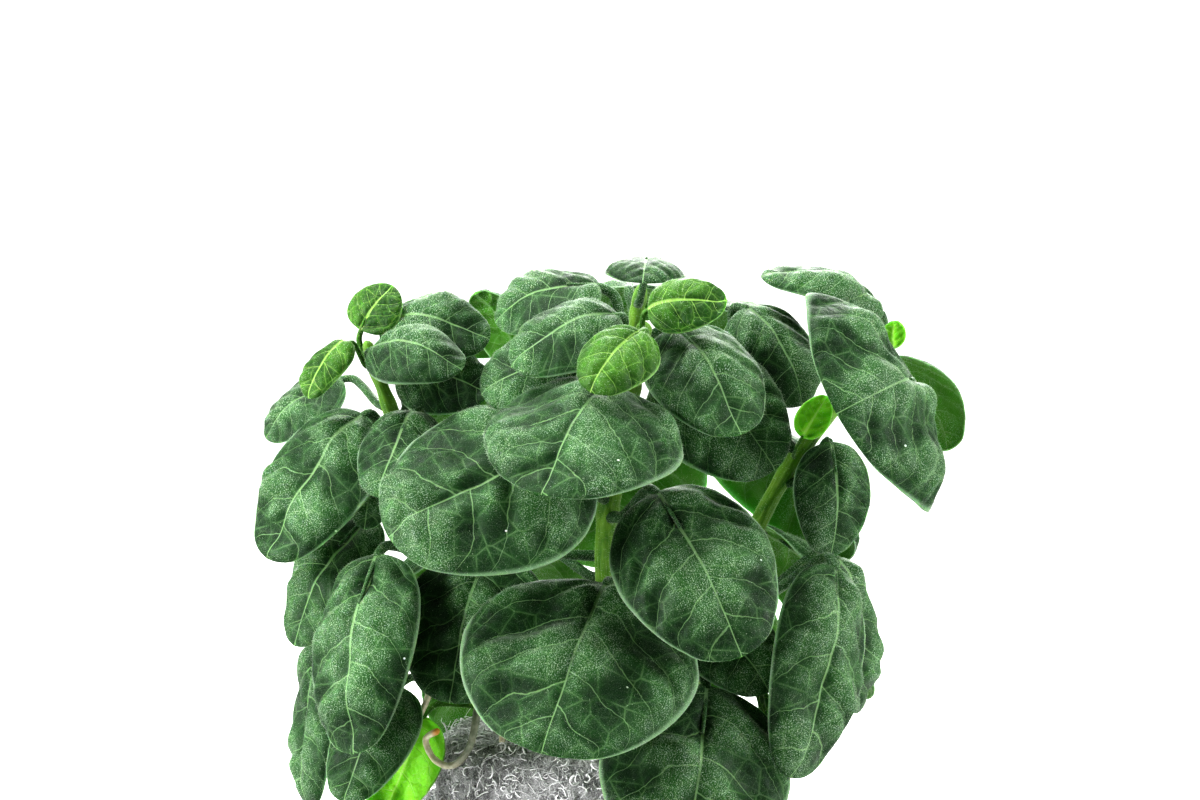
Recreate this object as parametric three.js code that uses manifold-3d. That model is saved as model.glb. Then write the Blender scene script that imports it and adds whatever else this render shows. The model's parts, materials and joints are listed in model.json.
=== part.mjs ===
// Potted basil: a bushy herb with round downy leaves, rooted in a stone-wool plug that stands in a plain pot.
// Millimetres, +Z up. The origin is the centre of the pot's underside, and the plant's front faces -Y.
import * as THREE from "three";
import { mergeVertices } from "three/addons/utils/BufferGeometryUtils.js";
import Module from "manifold-3d";

const wasm = await Module();
wasm.setup();

// ---- Driving dimensions ----
const POT_HEIGHT = 56;
const RIM_RADIUS = 32;
const RIM_HEIGHT = 8;
const RIM_STEP = 1.6; // how far the rim band stands out from the wall
const FOOT_RADIUS = 23;
const WALL = 1.8;
const FLOOR_THICKNESS = 2.4;
const DRAIN_COUNT = 5;
const DRAIN_RADIUS = 1.9;
const DRAIN_CIRCLE = 13;
const RIM_DRAFT = 0.4; // the rim band leans out by this much

const PLUG_TOP = 69;
const PLUG_RADIUS = 27.6; // above the rim
const PLUG_SHOULDER = 5;
const FIT_GAP = 0.4; // between pieces that touch

const PETIOLE_RADIUS = 0.95;
const PETIOLE_TAPER = 0.9; // of its radius is left where it meets the blade
const FULL_SIZE_WIDTH = 20; // a leaf narrower than this has a thinner petiole
const BLADE_THICKNESS = 0.7; // at the midrib, where the blade is broadest
const MARGIN_THINNING = 0.4; // how much thinner than the midrib the margins are
const END_THINNING = 0.4; // how much thinner than the middle the two ends are
const ROUND_SIDES = 40;

// ---- Colours ----
const LEAF_GREEN = new THREE.MeshStandardMaterial({ color: 0x2f5a35, roughness: 0.75 });
const YOUNG_GREEN = new THREE.MeshStandardMaterial({ color: 0x5f9a3a, roughness: 0.7 });
const STEM_GREEN = new THREE.MeshStandardMaterial({ color: 0x6f8f3c, roughness: 0.6 });
const ROOT_WHITE = new THREE.MeshStandardMaterial({ color: 0xd9d6bf, roughness: 0.6 });
const WOOL_GREY = new THREE.MeshStandardMaterial({ color: 0x8b8b8b, roughness: 0.95 });
const POT_GREY = new THREE.MeshStandardMaterial({ color: 0x55585a, roughness: 0.6 });

const part = new THREE.Group();

// ---- Helpers ----
const point = ([x, y, z]) => new THREE.Vector3(x, y, z);

function addPiece(name, geometry, material) {
  const mesh = new THREE.Mesh(geometry, material);
  mesh.name = name;
  part.add(mesh);
}

function toSolid(geometry) {
  const bare = geometry.clone();
  bare.deleteAttribute("normal");
  bare.deleteAttribute("uv");
  const merged = mergeVertices(bare, 1e-3);
  return new wasm.Manifold(
    new wasm.Mesh({
      numProp: 3,
      vertProperties: merged.attributes.position.array,
      triVerts: new Uint32Array(merged.index.array),
    }),
  );
}

function toGeometry(solid) {
  const mesh = solid.getMesh();
  return new THREE.BufferGeometry()
    .setAttribute("position", new THREE.BufferAttribute(new Float32Array(mesh.vertProperties), 3))
    .setIndex(new THREE.BufferAttribute(new Uint32Array(mesh.triVerts), 1));
}

// A closed skin over rings of equal point counts, from a flat first ring to one tip point.
function skin(rings, tip) {
  const sides = rings[0].length;
  const points = [...rings.flat(), tip];
  const faces = [];
  for (let i = 0; i + 1 < rings.length; i++)
    for (let j = 0; j < sides; j++) {
      const [a, b] = [i * sides + j, i * sides + ((j + 1) % sides)];
      faces.push(a, b, b + sides, a, b + sides, a + sides);
    }
  const last = (rings.length - 1) * sides;
  for (let j = 0; j < sides; j++) faces.push(last + j, last + ((j + 1) % sides), points.length - 1);
  for (let j = 1; j + 1 < sides; j++) faces.push(0, j + 1, j);
  return new THREE.BufferGeometry()
    .setAttribute("position", new THREE.Float32BufferAttribute(points.flatMap((p) => p.toArray()), 3))
    .setIndex(faces);
}

// A round tube along a curve, thinning from one radius to another and closed by a short point.
function taperedTube(curve, startRadius, endRadius, sides, steps) {
  const rings = [];
  let across = new THREE.Vector3(1, 0, 0);
  for (let i = 0; i <= steps; i++) {
    const along = curve.getTangentAt(i / steps);
    across = across.clone().addScaledVector(along, -across.dot(along)).normalize();
    const up = along.clone().cross(across);
    const radius = THREE.MathUtils.lerp(startRadius, endRadius, i / steps);
    rings.push(ringAround(curve.getPointAt(i / steps), across, up, radius, sides));
  }
  const tip = curve.getPointAt(1).addScaledVector(curve.getTangentAt(1), endRadius);
  return skin(rings, tip);
}

function ringAround(centre, across, up, radius, sides) {
  return Array.from({ length: sides }, (_, j) => {
    const angle = (2 * Math.PI * j) / sides;
    return centre
      .clone()
      .addScaledVector(across, radius * Math.cos(angle))
      .addScaledVector(up, radius * Math.sin(angle));
  });
}

// ---- Stems: each rises from the plug through the points of a smooth curve ----
const STEM_SIDES = 8;
const STEM_STEPS = 9;
const HALVINGS = 30; // of the search for a height on a stem
const ROOTING_DEPTH = 12; // how far a stem goes down into the plug
const HOLE_DEEPER = 1; // how far the hole goes on below the stem

function makeStem(name, footRadius, topRadius, places) {
  const curve = new THREE.CatmullRomCurve3(places.map(point), false, "centripetal");
  addPiece(name, taperedTube(curve, footRadius, topRadius, STEM_SIDES, STEM_STEPS), STEM_GREEN);
  const [[x, y, z], ...above] = places;
  const holePlaces = [[x, y, z - HOLE_DEEPER], ...above].map(point);
  const deeper = new THREE.CatmullRomCurve3(holePlaces, false, "centripetal");
  const foot = taperedTube(deeper, footRadius + FIT_GAP, topRadius + FIT_GAP, STEM_SIDES, STEM_STEPS);
  // Where the stem is at a height, which way it runs there, and how thick it is.
  const at = (height) => {
    let [low, high] = [0, 1];
    for (let i = 0; i < HALVINGS; i++) {
      const middle = (low + high) / 2;
      if (curve.getPointAt(middle).z < height) low = middle;
      else high = middle;
    }
    const radius = THREE.MathUtils.lerp(footRadius, topRadius, low);
    return { centre: curve.getPointAt(low), along: curve.getTangentAt(low), radius };
  };
  return { at, hole: toSolid(foot) };
}

const BOTTOM = PLUG_TOP - ROOTING_DEPTH;
const front = makeStem("stem_front", 2.2, 1.0, [
  [0, -6, BOTTOM], [0, -8, 76], [1, -12, 90], [1, -14, 106], [4, -18, 122], [7, -24, 138],
]);
const left = makeStem("stem_left", 2.0, 0.9, [
  [-12, -3, BOTTOM], [-14, -4, 74], [-21, -5, 88], [-28, -6, 106], [-34, -7, 122], [-38, -9, 134],
]);
const right = makeStem("stem_right", 2.0, 0.9, [
  [12, -1, BOTTOM], [14, -2, 74], [21, -4, 90], [27, -5, 106], [36, -5, 120], [47, -1, 132],
]);
const back = makeStem("stem_back", 2.1, 0.9, [
  [1, 9, BOTTOM], [1, 11, 76], [2, 15, 92], [2, 17, 110], [4, 16, 126], [7, 13, 142],
]);

// ---- Leaves ----
// A leaf is a petiole that widens into a blade. Each cross-section has seven points: one at each margin,
// three on the upper side and two on the lower side.
const UPPER_PLACES = [-0.55, 0, 0.55];
const LOWER_PLACES = [0.45, -0.45];
const BLADE_RINGS = 8;
const PETIOLE_RINGS = 5;
const BROADEST_NEAR_BASE = 0.16; // how much wider the basal half is than the apical half
const ROUNDNESS = 0.8; // 1 makes an ellipse, and less makes the two ends blunter
const CURL_POWER = 1.4; // the margins turn down more than the middle does
const CURL_STEPS = 12;

// How far out and how far down a place across the blade lies, for a half width and the margin's turn.
function curled(place, halfWidth, turn) {
  const step = (halfWidth * Math.abs(place)) / CURL_STEPS;
  let [out, down] = [0, 0];
  for (let i = 0; i < CURL_STEPS; i++) {
    const share = ((i + 0.5) / CURL_STEPS) * Math.abs(place);
    const angle = turn * share ** CURL_POWER;
    out += Math.cos(angle) * step;
    down += Math.sin(angle) * step;
  }
  return [Math.sign(place) * out, down];
}

function bladeRing(centre, side, normal, halfWidth, turn, thickness) {
  const place = (across, lift) => {
    const [out, down] = curled(across, halfWidth, turn);
    return centre.clone().addScaledVector(side, out).addScaledVector(normal, lift - down);
  };
  const thick = (across) => (thickness / 2) * (1 - MARGIN_THINNING * Math.abs(across));
  return [
    place(-1, 0),
    ...UPPER_PLACES.map((across) => place(across, thick(across))),
    place(1, 0),
    ...LOWER_PLACES.map((across) => place(across, -thick(across))),
  ];
}

function petioleRing(centre, side, normal, radius) {
  const angles = [180, 130, 90, 50, 0, -60, -120];
  return angles.map((degrees) => {
    const angle = THREE.MathUtils.degToRad(degrees);
    return centre
      .clone()
      .addScaledVector(side, radius * Math.cos(angle))
      .addScaledVector(normal, radius * Math.sin(angle));
  });
}

// The blade runs from base to tip, its upper side looks along faces, it rises by arch in the middle, and its
// margins turn down by curl degrees. The petiole joins the stem at the node's height.
function makeLeaf(name, stem, node, base, tip, faces, width, arch, curl, material = LEAF_GREEN) {
  const [from, to] = [point(base), point(tip)];
  const chord = to.clone().sub(from);
  const length = chord.length();
  const ahead = chord.clone().normalize();
  const up = point(faces);
  up.addScaledVector(ahead, -up.dot(ahead)).normalize();
  const side = ahead.clone().cross(up);
  const midrib = (share) =>
    from.clone().addScaledVector(chord, share).addScaledVector(up, 4 * arch * share * (1 - share));
  const slope = (share) =>
    ahead.clone().multiplyScalar(length).addScaledVector(up, 4 * arch * (1 - 2 * share)).normalize();

  const joint = stem.at(node);
  const leaving = from.clone().sub(joint.centre);
  leaving.addScaledVector(joint.along, -leaving.dot(joint.along)).normalize();
  const start = joint.centre.clone().addScaledVector(leaving, joint.radius + FIT_GAP);
  const reach = start.distanceTo(from) / 3;
  const petiole = new THREE.CubicBezierCurve3(
    start,
    start.clone().addScaledVector(leaving, reach),
    from.clone().addScaledVector(slope(0), -reach),
    from,
  );
  const radius = PETIOLE_RADIUS * Math.min(1, width / FULL_SIZE_WIDTH);
  const rings = [];
  for (let i = 0; i < PETIOLE_RINGS; i++) {
    const along = i ? petiole.getTangent(i / PETIOLE_RINGS) : leaving;
    const across = side.clone().addScaledVector(along, -side.dot(along)).normalize();
    const normal = across.clone().cross(along);
    rings.push(petioleRing(petiole.getPoint(i / PETIOLE_RINGS), across, normal, radius));
  }
  for (let i = 0; i < BLADE_RINGS; i++) {
    const angle = (Math.PI * i) / BLADE_RINGS;
    const share = (1 - Math.cos(angle)) / 2;
    const spread = Math.sin(angle) ** ROUNDNESS * (1 + BROADEST_NEAR_BASE * Math.cos(angle));
    const normal = side.clone().cross(slope(share));
    const turn = THREE.MathUtils.degToRad(curl) * spread;
    const thickness = BLADE_THICKNESS * (1 - END_THINNING * (1 - spread));
    rings.push(
      i
        ? bladeRing(midrib(share), side, normal, (width / 2) * spread, turn, thickness)
        : petioleRing(from, side, normal, radius * PETIOLE_TAPER),
    );
  }
  addPiece(name, skin(rings, midrib(1)), material);
}

const LEAVES = [
  // name, stem, node height, blade base, blade tip, upper side faces, width, arch, curl
  ["front_leaf_01", front, 80, [17, -27, 81], [13, -43, 53], [1, -9, 2], 33, 3, 35],
  ["front_leaf_02", front, 88, [-18, -16, 101], [-24, -27, 78], [-3, -9, 2], 26, 3, 30],
  ["front_leaf_03", front, 93, [1, -25, 97], [-9, -48, 74], [0, -7, 6], 40, 3, 30],
  ["front_leaf_04", front, 110, [-3, -26, 119], [-33, -37, 106], [-2, -8, 5], 34, 4, 35],
  ["front_leaf_05", front, 107, [9, -27, 112], [22, -42, 88], [1, -9, 4], 28, 4, 40],
  ["front_leaf_06", front, 120, [2, -29, 129], [-9, -48, 114], [-1, -6, 8], 36, 4, 45],
  ["front_leaf_07", front, 133, [3, -24, 140], [-14, -28, 132], [-2, -6, 7], 18, 3, 45],
  ["front_leaf_08", front, 128, [0, -12, 144], [-17, -13, 138], [-3, -5, 8], 20, 3, 45],
  ["front_leaf_09", front, 131, [12, -23, 138], [22, -36, 122], [2, -8, 5], 21, 3, 45],
  ["front_leaf_10", front, 122, [12, -18, 132], [28, -23, 115], [3, -8, 4], 25, 3, 35],
  ["front_leaf_11", front, 136, [6.5, -32.5, 138], [-1.5, -40.5, 129], [-2, -8, 5], 14, 2, 40, YOUNG_GREEN],
  ["front_leaf_12", front, 138, [7.5, -27, 141], [20, -29, 142.5], [-1, -8, 6], 11, 1.5, 30, YOUNG_GREEN],
  ["front_leaf_13", front, 124, [-1, -18, 133], [-19, -21, 127], [-2, -7, 6], 19, 3, 40],

  ["left_leaf_01", left, 130, [-39.3, -8, 136.5], [-34, -6, 143.7], [-4, -7, 3], 11, 1, 20, YOUNG_GREEN],
  ["left_leaf_02", left, 131, [-41, -13, 135], [-47, -17, 126], [-5, -7, 5], 9, 2, 30, YOUNG_GREEN],
  ["left_leaf_03", left, 124, [-43, 0, 128], [-55.5, -2, 118], [-6, -5, 6], 16, 2, 30],
  ["left_leaf_04", left, 118, [-38.5, -12, 123], [-54, -17, 100], [-5, -8, 3], 21.5, 3, 30],
  ["left_leaf_05", left, 130, [-37, -15, 134], [-22, -22, 131], [0, -6, 8], 16, 3, 50],
  ["left_leaf_06", left, 130, [-35, -6, 138], [-18, -10, 135], [0, -7, 6], 16, 3, 45],
  ["left_leaf_07", left, 122, [-33, -7.5, 130], [-18, -12, 126.5], [1, -7, 5], 15, 2, 40],
  ["left_leaf_08", left, 114, [-30, -17, 124], [-35, -27, 111], [-3, -8, 4], 15, 2, 35],
  ["left_leaf_09", left, 110, [-35, -14, 117], [-38, -19, 105], [-3, -9, 2], 9, 1, 30],
  ["left_leaf_10", left, 100, [-36, -19, 101], [-39, -33, 71], [-5, -8, 3], 22, 4, 40],
  ["left_leaf_11", left, 104, [-38, -7, 106], [-50, -13, 85], [-6, -6, 3], 18, 3, 30],
  ["left_leaf_12", left, 84, [-45, -4, 87], [-48, -8, 57], [-8, -4, 2], 17, 3, 35],
  ["left_leaf_13", left, 79, [-33, -16, 79], [-41, -27, 62], [-4, -8, 2], 16, 2, 30],
  ["left_leaf_14", left, 75, [-29, -10, 73], [-36, -15, 57], [3, 8, 3], 13, 1.5, 20, YOUNG_GREEN],

  ["right_leaf_01", right, 126, [51, -12, 128.5], [37, -33, 125], [5, -6, 4], 44, 5, 45],
  ["right_leaf_02", right, 127, [47, -1, 139], [26.5, -4, 145], [2, -3, 9], 16, 4, 50],
  ["right_leaf_03", right, 130, [48, 4, 131], [59, 8, 115], [5, 7, 5], 19, 3, 30],
  ["right_leaf_04", right, 128, [48.2, -4.5, 133], [48.2, -7.5, 138], [-2, 8, 4], 5, 1, 20, YOUNG_GREEN],
  ["right_leaf_05", right, 115, [33, -10, 119], [37, -12, 126], [2, 8, 3], 6, 1, 20, YOUNG_GREEN],
  ["right_leaf_06", right, 112, [38, -7, 118], [38, -7, 99], [3, -9, 1], 15, 3, 35],
  ["right_leaf_07", right, 92, [38, -19, 99], [30, -32, 67], [6, -8, 3], 20, 4, 35],
  ["right_leaf_08", right, 92, [39.5, -1, 98], [43, -3, 72], [7, -4, 2], 19, 3, 30],
  ["right_leaf_09", right, 84, [15, -16, 92], [27, -28, 80], [2, -8, 4], 17, 3, 30],
  ["right_leaf_10", right, 80, [25, -20, 84], [29, -24, 66], [-8, -3, 2], 5, 1, 20, YOUNG_GREEN],
  ["right_leaf_11", right, 116, [24, -4, 140], [33, -8, 124], [3, -6, 6], 19, 3, 35],

  ["back_leaf_01", back, 124, [-13, 5, 130], [-21, 5, 142], [4, 8, 5], 12, 2, 30],
  ["back_leaf_02", back, 140, [8, 8, 147], [7, -5, 144], [0, -5, 8], 15, 2, 45],
  ["back_leaf_03", back, 138, [5, 20, 142], [7, 39, 135], [0, 4, 8], 25, 3, 45],
  ["back_leaf_04", back, 132, [-7, 18, 139], [-25, 25, 130], [-3, 4, 8], 25, 3, 45],
  ["back_leaf_05", back, 134, [16, 15, 139], [34, 20, 131], [3, 3, 8], 25, 3, 45],
  ["back_leaf_06", back, 116, [-17, 17, 124], [-41, 21, 103], [-6, 4, 5], 34, 5, 40],
  ["back_leaf_07", back, 118, [3, 30, 121], [1, 50, 89], [0, 8, 6], 37, 5, 40],
  ["back_leaf_08", back, 112, [21, 17, 121], [42, 21, 94], [6, 4, 5], 37, 5, 40],
  ["back_leaf_09", back, 92, [-10, 26.5, 95], [-25, 45, 59], [-4, 7, 4], 33, 5, 35],
  ["back_leaf_10", back, 88, [12, 27, 94], [22, 44, 67], [3, 8, 4], 34, 5, 35],
  ["back_leaf_11", back, 92, [27, 13, 102], [46, 16, 71], [7, 3, 4], 30, 5, 35],
  ["back_leaf_12", back, 96, [-25, 10, 97], [-45, 12, 73], [-7, 3, 4], 29, 5, 35],
];
for (const leaf of LEAVES) makeLeaf(...leaf);

// ---- Roots that leave the stems above the plug ----
const ROOT_SIDES = 6;
const ROOT_STEPS = 12;
const ABOVE_PLUG = PLUG_TOP + 0.9; // where a root that goes into the plug meets its surface

function makeRoot(name, baseRadius, tipRadius, places) {
  const curve = new THREE.CatmullRomCurve3(places.map(point), false, "centripetal");
  addPiece(name, taperedTube(curve, baseRadius, tipRadius, ROOT_SIDES, ROOT_STEPS), ROOT_WHITE);
}

makeRoot("root_hanging", 0.55, 0.45, [
  [-21, -8, 84], [-26, -15, 81], [-29, -19, 75], [-31, -21, 71], [-33, -22, 67], [-37, -22, 65],
]);
makeRoot("root_curled", 0.65, 0.5, [
  [-16, -7, 79], [-19, -15, 79], [-20, -21, 75], [-21, -22, 70], [-24, -20, 66.5],
  [-27, -16.5, 67], [-28.5, -14.5, 69], [-28, -15, 71], [-26.5, -16, 71.5],
]);
makeRoot("root_bent", 0.7, 0.5, [
  [-2.8, -11, 82], [-8, -15, 80.5], [-13.5, -17, 77], [-15.5, -17.5, 73], [-16, -17, ABOVE_PLUG],
]);
makeRoot("root_short", 0.6, 0.5, [
  [-2.8, -10, 78.5], [-7, -12, 78], [-10.5, -15, 76], [-12.5, -17, 73], [-13.5, -17, ABOVE_PLUG],
]);

// ---- Stone-wool plug, with a hole for each stem ----
const wallSlope = (RIM_RADIUS - RIM_STEP - FOOT_RADIUS) / POT_HEIGHT;
const wallRadius = (height) => FOOT_RADIUS + wallSlope * height - WALL; // inside the pot

function lathe(profile) {
  return new THREE.LatheGeometry(profile.map(([r, z]) => new THREE.Vector2(r, z)), ROUND_SIDES).rotateX(
    Math.PI / 2,
  );
}

const plugFoot = FLOOR_THICKNESS + FIT_GAP;
const shoulder = [0, 30, 60, 90].map((degrees) => {
  const angle = THREE.MathUtils.degToRad(degrees);
  return [
    PLUG_RADIUS + PLUG_SHOULDER * (Math.cos(angle) - 1),
    PLUG_TOP + PLUG_SHOULDER * (Math.sin(angle) - 1),
  ];
});
let plug = toSolid(
  lathe([
    [0, plugFoot],
    [wallRadius(plugFoot) - FIT_GAP, plugFoot],
    [PLUG_RADIUS, POT_HEIGHT],
    ...shoulder,
    [0, PLUG_TOP],
  ]),
);
for (const stem of [front, left, right, back]) plug = plug.subtract(stem.hole);
addPiece("stone_wool_plug", toGeometry(plug), WOOL_GREY);

// ---- Pot: a tapered cup with a band round the rim and drain holes in the floor ----
const rimFoot = POT_HEIGHT - RIM_HEIGHT;
let pot = toSolid(
  lathe([
    [0, 0],
    [FOOT_RADIUS, 0],
    [wallRadius(rimFoot) + WALL, rimFoot],
    [RIM_RADIUS - RIM_DRAFT, rimFoot],
    [RIM_RADIUS, POT_HEIGHT],
    [wallRadius(POT_HEIGHT), POT_HEIGHT],
    [wallRadius(FLOOR_THICKNESS), FLOOR_THICKNESS],
    [0, FLOOR_THICKNESS],
  ]),
);
for (let i = 0; i < DRAIN_COUNT; i++) {
  const angle = (2 * Math.PI * i) / DRAIN_COUNT;
  const drill = new THREE.CylinderGeometry(DRAIN_RADIUS, DRAIN_RADIUS, 3 * FLOOR_THICKNESS, 12)
    .rotateX(Math.PI / 2)
    .translate(DRAIN_CIRCLE * Math.cos(angle), DRAIN_CIRCLE * Math.sin(angle), 0);
  pot = pot.subtract(toSolid(drill));
}
addPiece("pot", toGeometry(pot), POT_GREY);

export default part;
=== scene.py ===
# %% [markdown]
# # A small potted herb, leaf by leaf
# This lesson dresses a fixed model of a young herb plant that grows from a plug of stone wool in a
# plain plastic pot. The model gives every leaf, stem, root, the plug and the pot its place and size.
# Here each of them gets the surface that the real thing shows: quilted leaves with sunken veins and
# a coat of short pale hairs, soft ribbed stems, ivory roots, matted mineral fibre and moulded plastic.
#
# ## The fixed frame
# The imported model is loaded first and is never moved. Lengths below are in millimetres, because a
# leaf is easier to think about that way, and they are turned to metres when a mesh is made.

# %% Load the fixed frame
import json
import math

import bmesh
import bpy
import numpy as np
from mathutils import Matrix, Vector, noise

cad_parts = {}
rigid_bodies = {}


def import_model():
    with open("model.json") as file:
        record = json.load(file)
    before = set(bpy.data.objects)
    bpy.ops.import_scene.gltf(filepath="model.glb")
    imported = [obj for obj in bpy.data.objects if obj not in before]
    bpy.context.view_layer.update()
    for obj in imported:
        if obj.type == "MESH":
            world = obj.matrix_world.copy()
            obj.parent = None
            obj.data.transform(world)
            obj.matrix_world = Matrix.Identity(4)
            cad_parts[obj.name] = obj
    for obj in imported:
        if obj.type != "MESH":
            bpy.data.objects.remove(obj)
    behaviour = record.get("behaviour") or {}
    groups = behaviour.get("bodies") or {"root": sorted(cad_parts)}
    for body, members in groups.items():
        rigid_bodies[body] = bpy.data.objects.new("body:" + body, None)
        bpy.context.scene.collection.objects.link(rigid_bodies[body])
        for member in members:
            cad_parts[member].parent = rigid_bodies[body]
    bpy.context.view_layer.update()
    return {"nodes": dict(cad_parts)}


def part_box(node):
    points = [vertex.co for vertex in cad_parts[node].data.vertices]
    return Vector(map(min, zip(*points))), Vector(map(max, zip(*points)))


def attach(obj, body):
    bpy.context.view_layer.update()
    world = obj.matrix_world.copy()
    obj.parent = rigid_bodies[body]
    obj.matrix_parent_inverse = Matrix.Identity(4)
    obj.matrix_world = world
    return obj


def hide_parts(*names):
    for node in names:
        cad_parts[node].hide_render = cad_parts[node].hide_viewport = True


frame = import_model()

MM = 0.001

# %% [markdown]
# ## Camera
# The plant is looked at from a little above the height of its leaves, with a long lens, so that it
# looks the way it does on a table from some distance and near leaves don't swell. The camera stands
# on a circle round the middle of the foliage and looks at it squarely.

# %% Camera
FOLIAGE_MIDDLE = Vector((0.0, 0.0, 124.3 * MM))
CAMERA_DISTANCE = 0.555
CAMERA_ELEVATION = math.radians(5.0)
LENS = 100.0

camera_data = bpy.data.cameras.new("camera")
camera_data.lens = LENS
camera_data.sensor_width = 36.0
camera_data.clip_start, camera_data.clip_end = 0.05, 20.0
camera = bpy.data.objects.new("camera", camera_data)
bpy.context.scene.collection.objects.link(camera)
away = Vector((0.0, -math.cos(CAMERA_ELEVATION), math.sin(CAMERA_ELEVATION)))
camera.location = FOLIAGE_MIDDLE + away * CAMERA_DISTANCE
camera.rotation_mode = "QUATERNION"
camera.rotation_quaternion = (-away).to_track_quat("-Z", "Y")
bpy.context.scene.camera = camera
print("camera at", [round(c, 3) for c in camera.location])

# %% [markdown]
# ## Light
# White light comes from all round, which is how a light tent works. The largest panel stands behind
# and the others above and low at the front on both sides. Leaf edges and hairs catch the light, thin
# young leaves glow with what passes through them, and the hollows between the leaves stay dark. The
# surround looks white, but it lights the plant far less than the panels do, so that light still has
# a direction and the quilting of the leaves shows.

# %% Soft lights and a white surround
def soft_light(name, spot, side, power, aim=FOLIAGE_MIDDLE):
    """A square panel of light, side and spot in metres, turned to face aim."""
    data = bpy.data.lights.new(name, "AREA")
    data.shape, data.size, data.energy = "SQUARE", side, power
    panel = bpy.data.objects.new(name, data)
    panel.location = spot
    panel.rotation_mode = "QUATERNION"
    panel.rotation_quaternion = (aim - Vector(spot)).to_track_quat("-Z", "Y")
    bpy.context.scene.collection.objects.link(panel)
    return panel


soft_light("light_top", (-0.14, -0.06, 0.64), 0.30, 4.4)
soft_light("light_back", (0.05, 0.60, 0.42), 0.5, 8.0)
soft_light("light_left", (-0.55, -0.22, 0.28), 0.30, 5.8)
soft_light("light_right", (0.58, -0.16, 0.26), 0.30, 4.4)

SURROUND_LIGHT = 0.14  # what the surround gives the plant, as a share of the white that the camera sees
surround = bpy.data.worlds.new("white_surround")
surround.use_nodes = True
tree = surround.node_tree
seen = tree.nodes.new("ShaderNodeLightPath").outputs["Is Camera Ray"]
level = tree.nodes.new("ShaderNodeMapRange")
tree.links.new(seen, level.inputs["Value"])
level.inputs["To Min"].default_value, level.inputs["To Max"].default_value = SURROUND_LIGHT, 1.0
tree.links.new(level.outputs[0], tree.nodes["Background"].inputs["Strength"])
tree.nodes["Background"].inputs["Color"].default_value = (1.0, 1.0, 1.0, 1.0)
bpy.context.scene.world = surround
bpy.context.scene.view_settings.view_transform = "Standard"
bpy.context.scene.view_settings.look = "High Contrast"

# %% [markdown]
# ## Reading a grown piece
# Every leaf, stem and root of the model is lofted: rings of points, one after the other, from the cut
# end to a single point at the tip. Knowing the rings again gives the piece its own sense of along and
# across, which the veins and the hairs need. The first point of the first ring is the only one that
# the flat cut end is fanned from, so it has the most neighbours, and the tip is the point that is
# most edges away from it. From there the rings are walked one by one.

# %% Find the rings of a lofted piece
def steps_from(origin, near):
    """How many edges every point is away from origin, where near gives the neighbours of a point."""
    steps, edge = {origin: 0}, [origin]
    while edge:
        beyond = []
        for v in edge:
            for w in near[v]:
                if w not in steps:
                    steps[w] = steps[v] + 1
                    beyond.append(w)
        edge = beyond
    return steps


def loft_rings(node):
    """The rings of points that a grown piece is lofted through, cut end first, and its tip, in mm."""
    mesh = frame["nodes"][node].data
    corners = np.array([v.co[:] for v in mesh.vertices])
    spots, number = np.unique(np.round(corners, 7), axis=0, return_inverse=True)
    number = number.reshape(-1)
    mesh.calc_loop_triangles()
    faces = [[int(number[v]) for v in t.vertices] for t in mesh.loop_triangles]
    near = {v: set() for v in range(len(spots))}
    for face in faces:
        for v in face:
            near[v] |= set(face) - {v}

    first = max(near, key=lambda v: len(near[v]))
    reach = steps_from(first, near)
    tip = max(reach, key=reach.get)
    height = steps_from(tip, near)
    after = {}
    for face in faces:
        for k in range(3):
            a, b, c = face[k], face[(k + 1) % 3], face[(k + 2) % 3]
            if height[a] == height[b] == height[c] + 1:
                after[a] = b
    rings = []
    while True:
        ring = [first]
        while after[ring[-1]] != first:
            ring.append(after[ring[-1]])
        rings.append(ring)
        if height[first] == 1:
            break
        first = next(v for v in near[first] & near[ring[-1]] if height[v] == height[first] - 1)
    return spots[np.array(rings)] / MM, spots[tip] / MM


def spine(rings):
    """The centre and the mean radius of each ring."""
    centres = rings.mean(1)
    return centres, np.linalg.norm(rings - centres[:, None], axis=2).mean(1)


leaf_names = sorted(n for n in frame["nodes"] if "_leaf_" in n)
stem_names = sorted(n for n in frame["nodes"] if n.startswith("stem_"))
root_names = sorted(n for n in frame["nodes"] if n.startswith("root_"))
lofts = {n: loft_rings(n) for n in leaf_names + stem_names + root_names}
print("lofted pieces:", len(lofts), "leaf rings:", lofts[leaf_names[0]][0].shape)

# %% [markdown]
# ## Closed skins
# A leaf and a stem are the same kind of thing to a modeller: a closed tube of rings that ends in a
# point at both ends. One helper lays the faces for all of them. It also takes the surface
# coordinates that the finishes read, given for the two edges of each strip of faces, so that a
# coordinate may jump where the left half of a leaf meets the right half.

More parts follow.
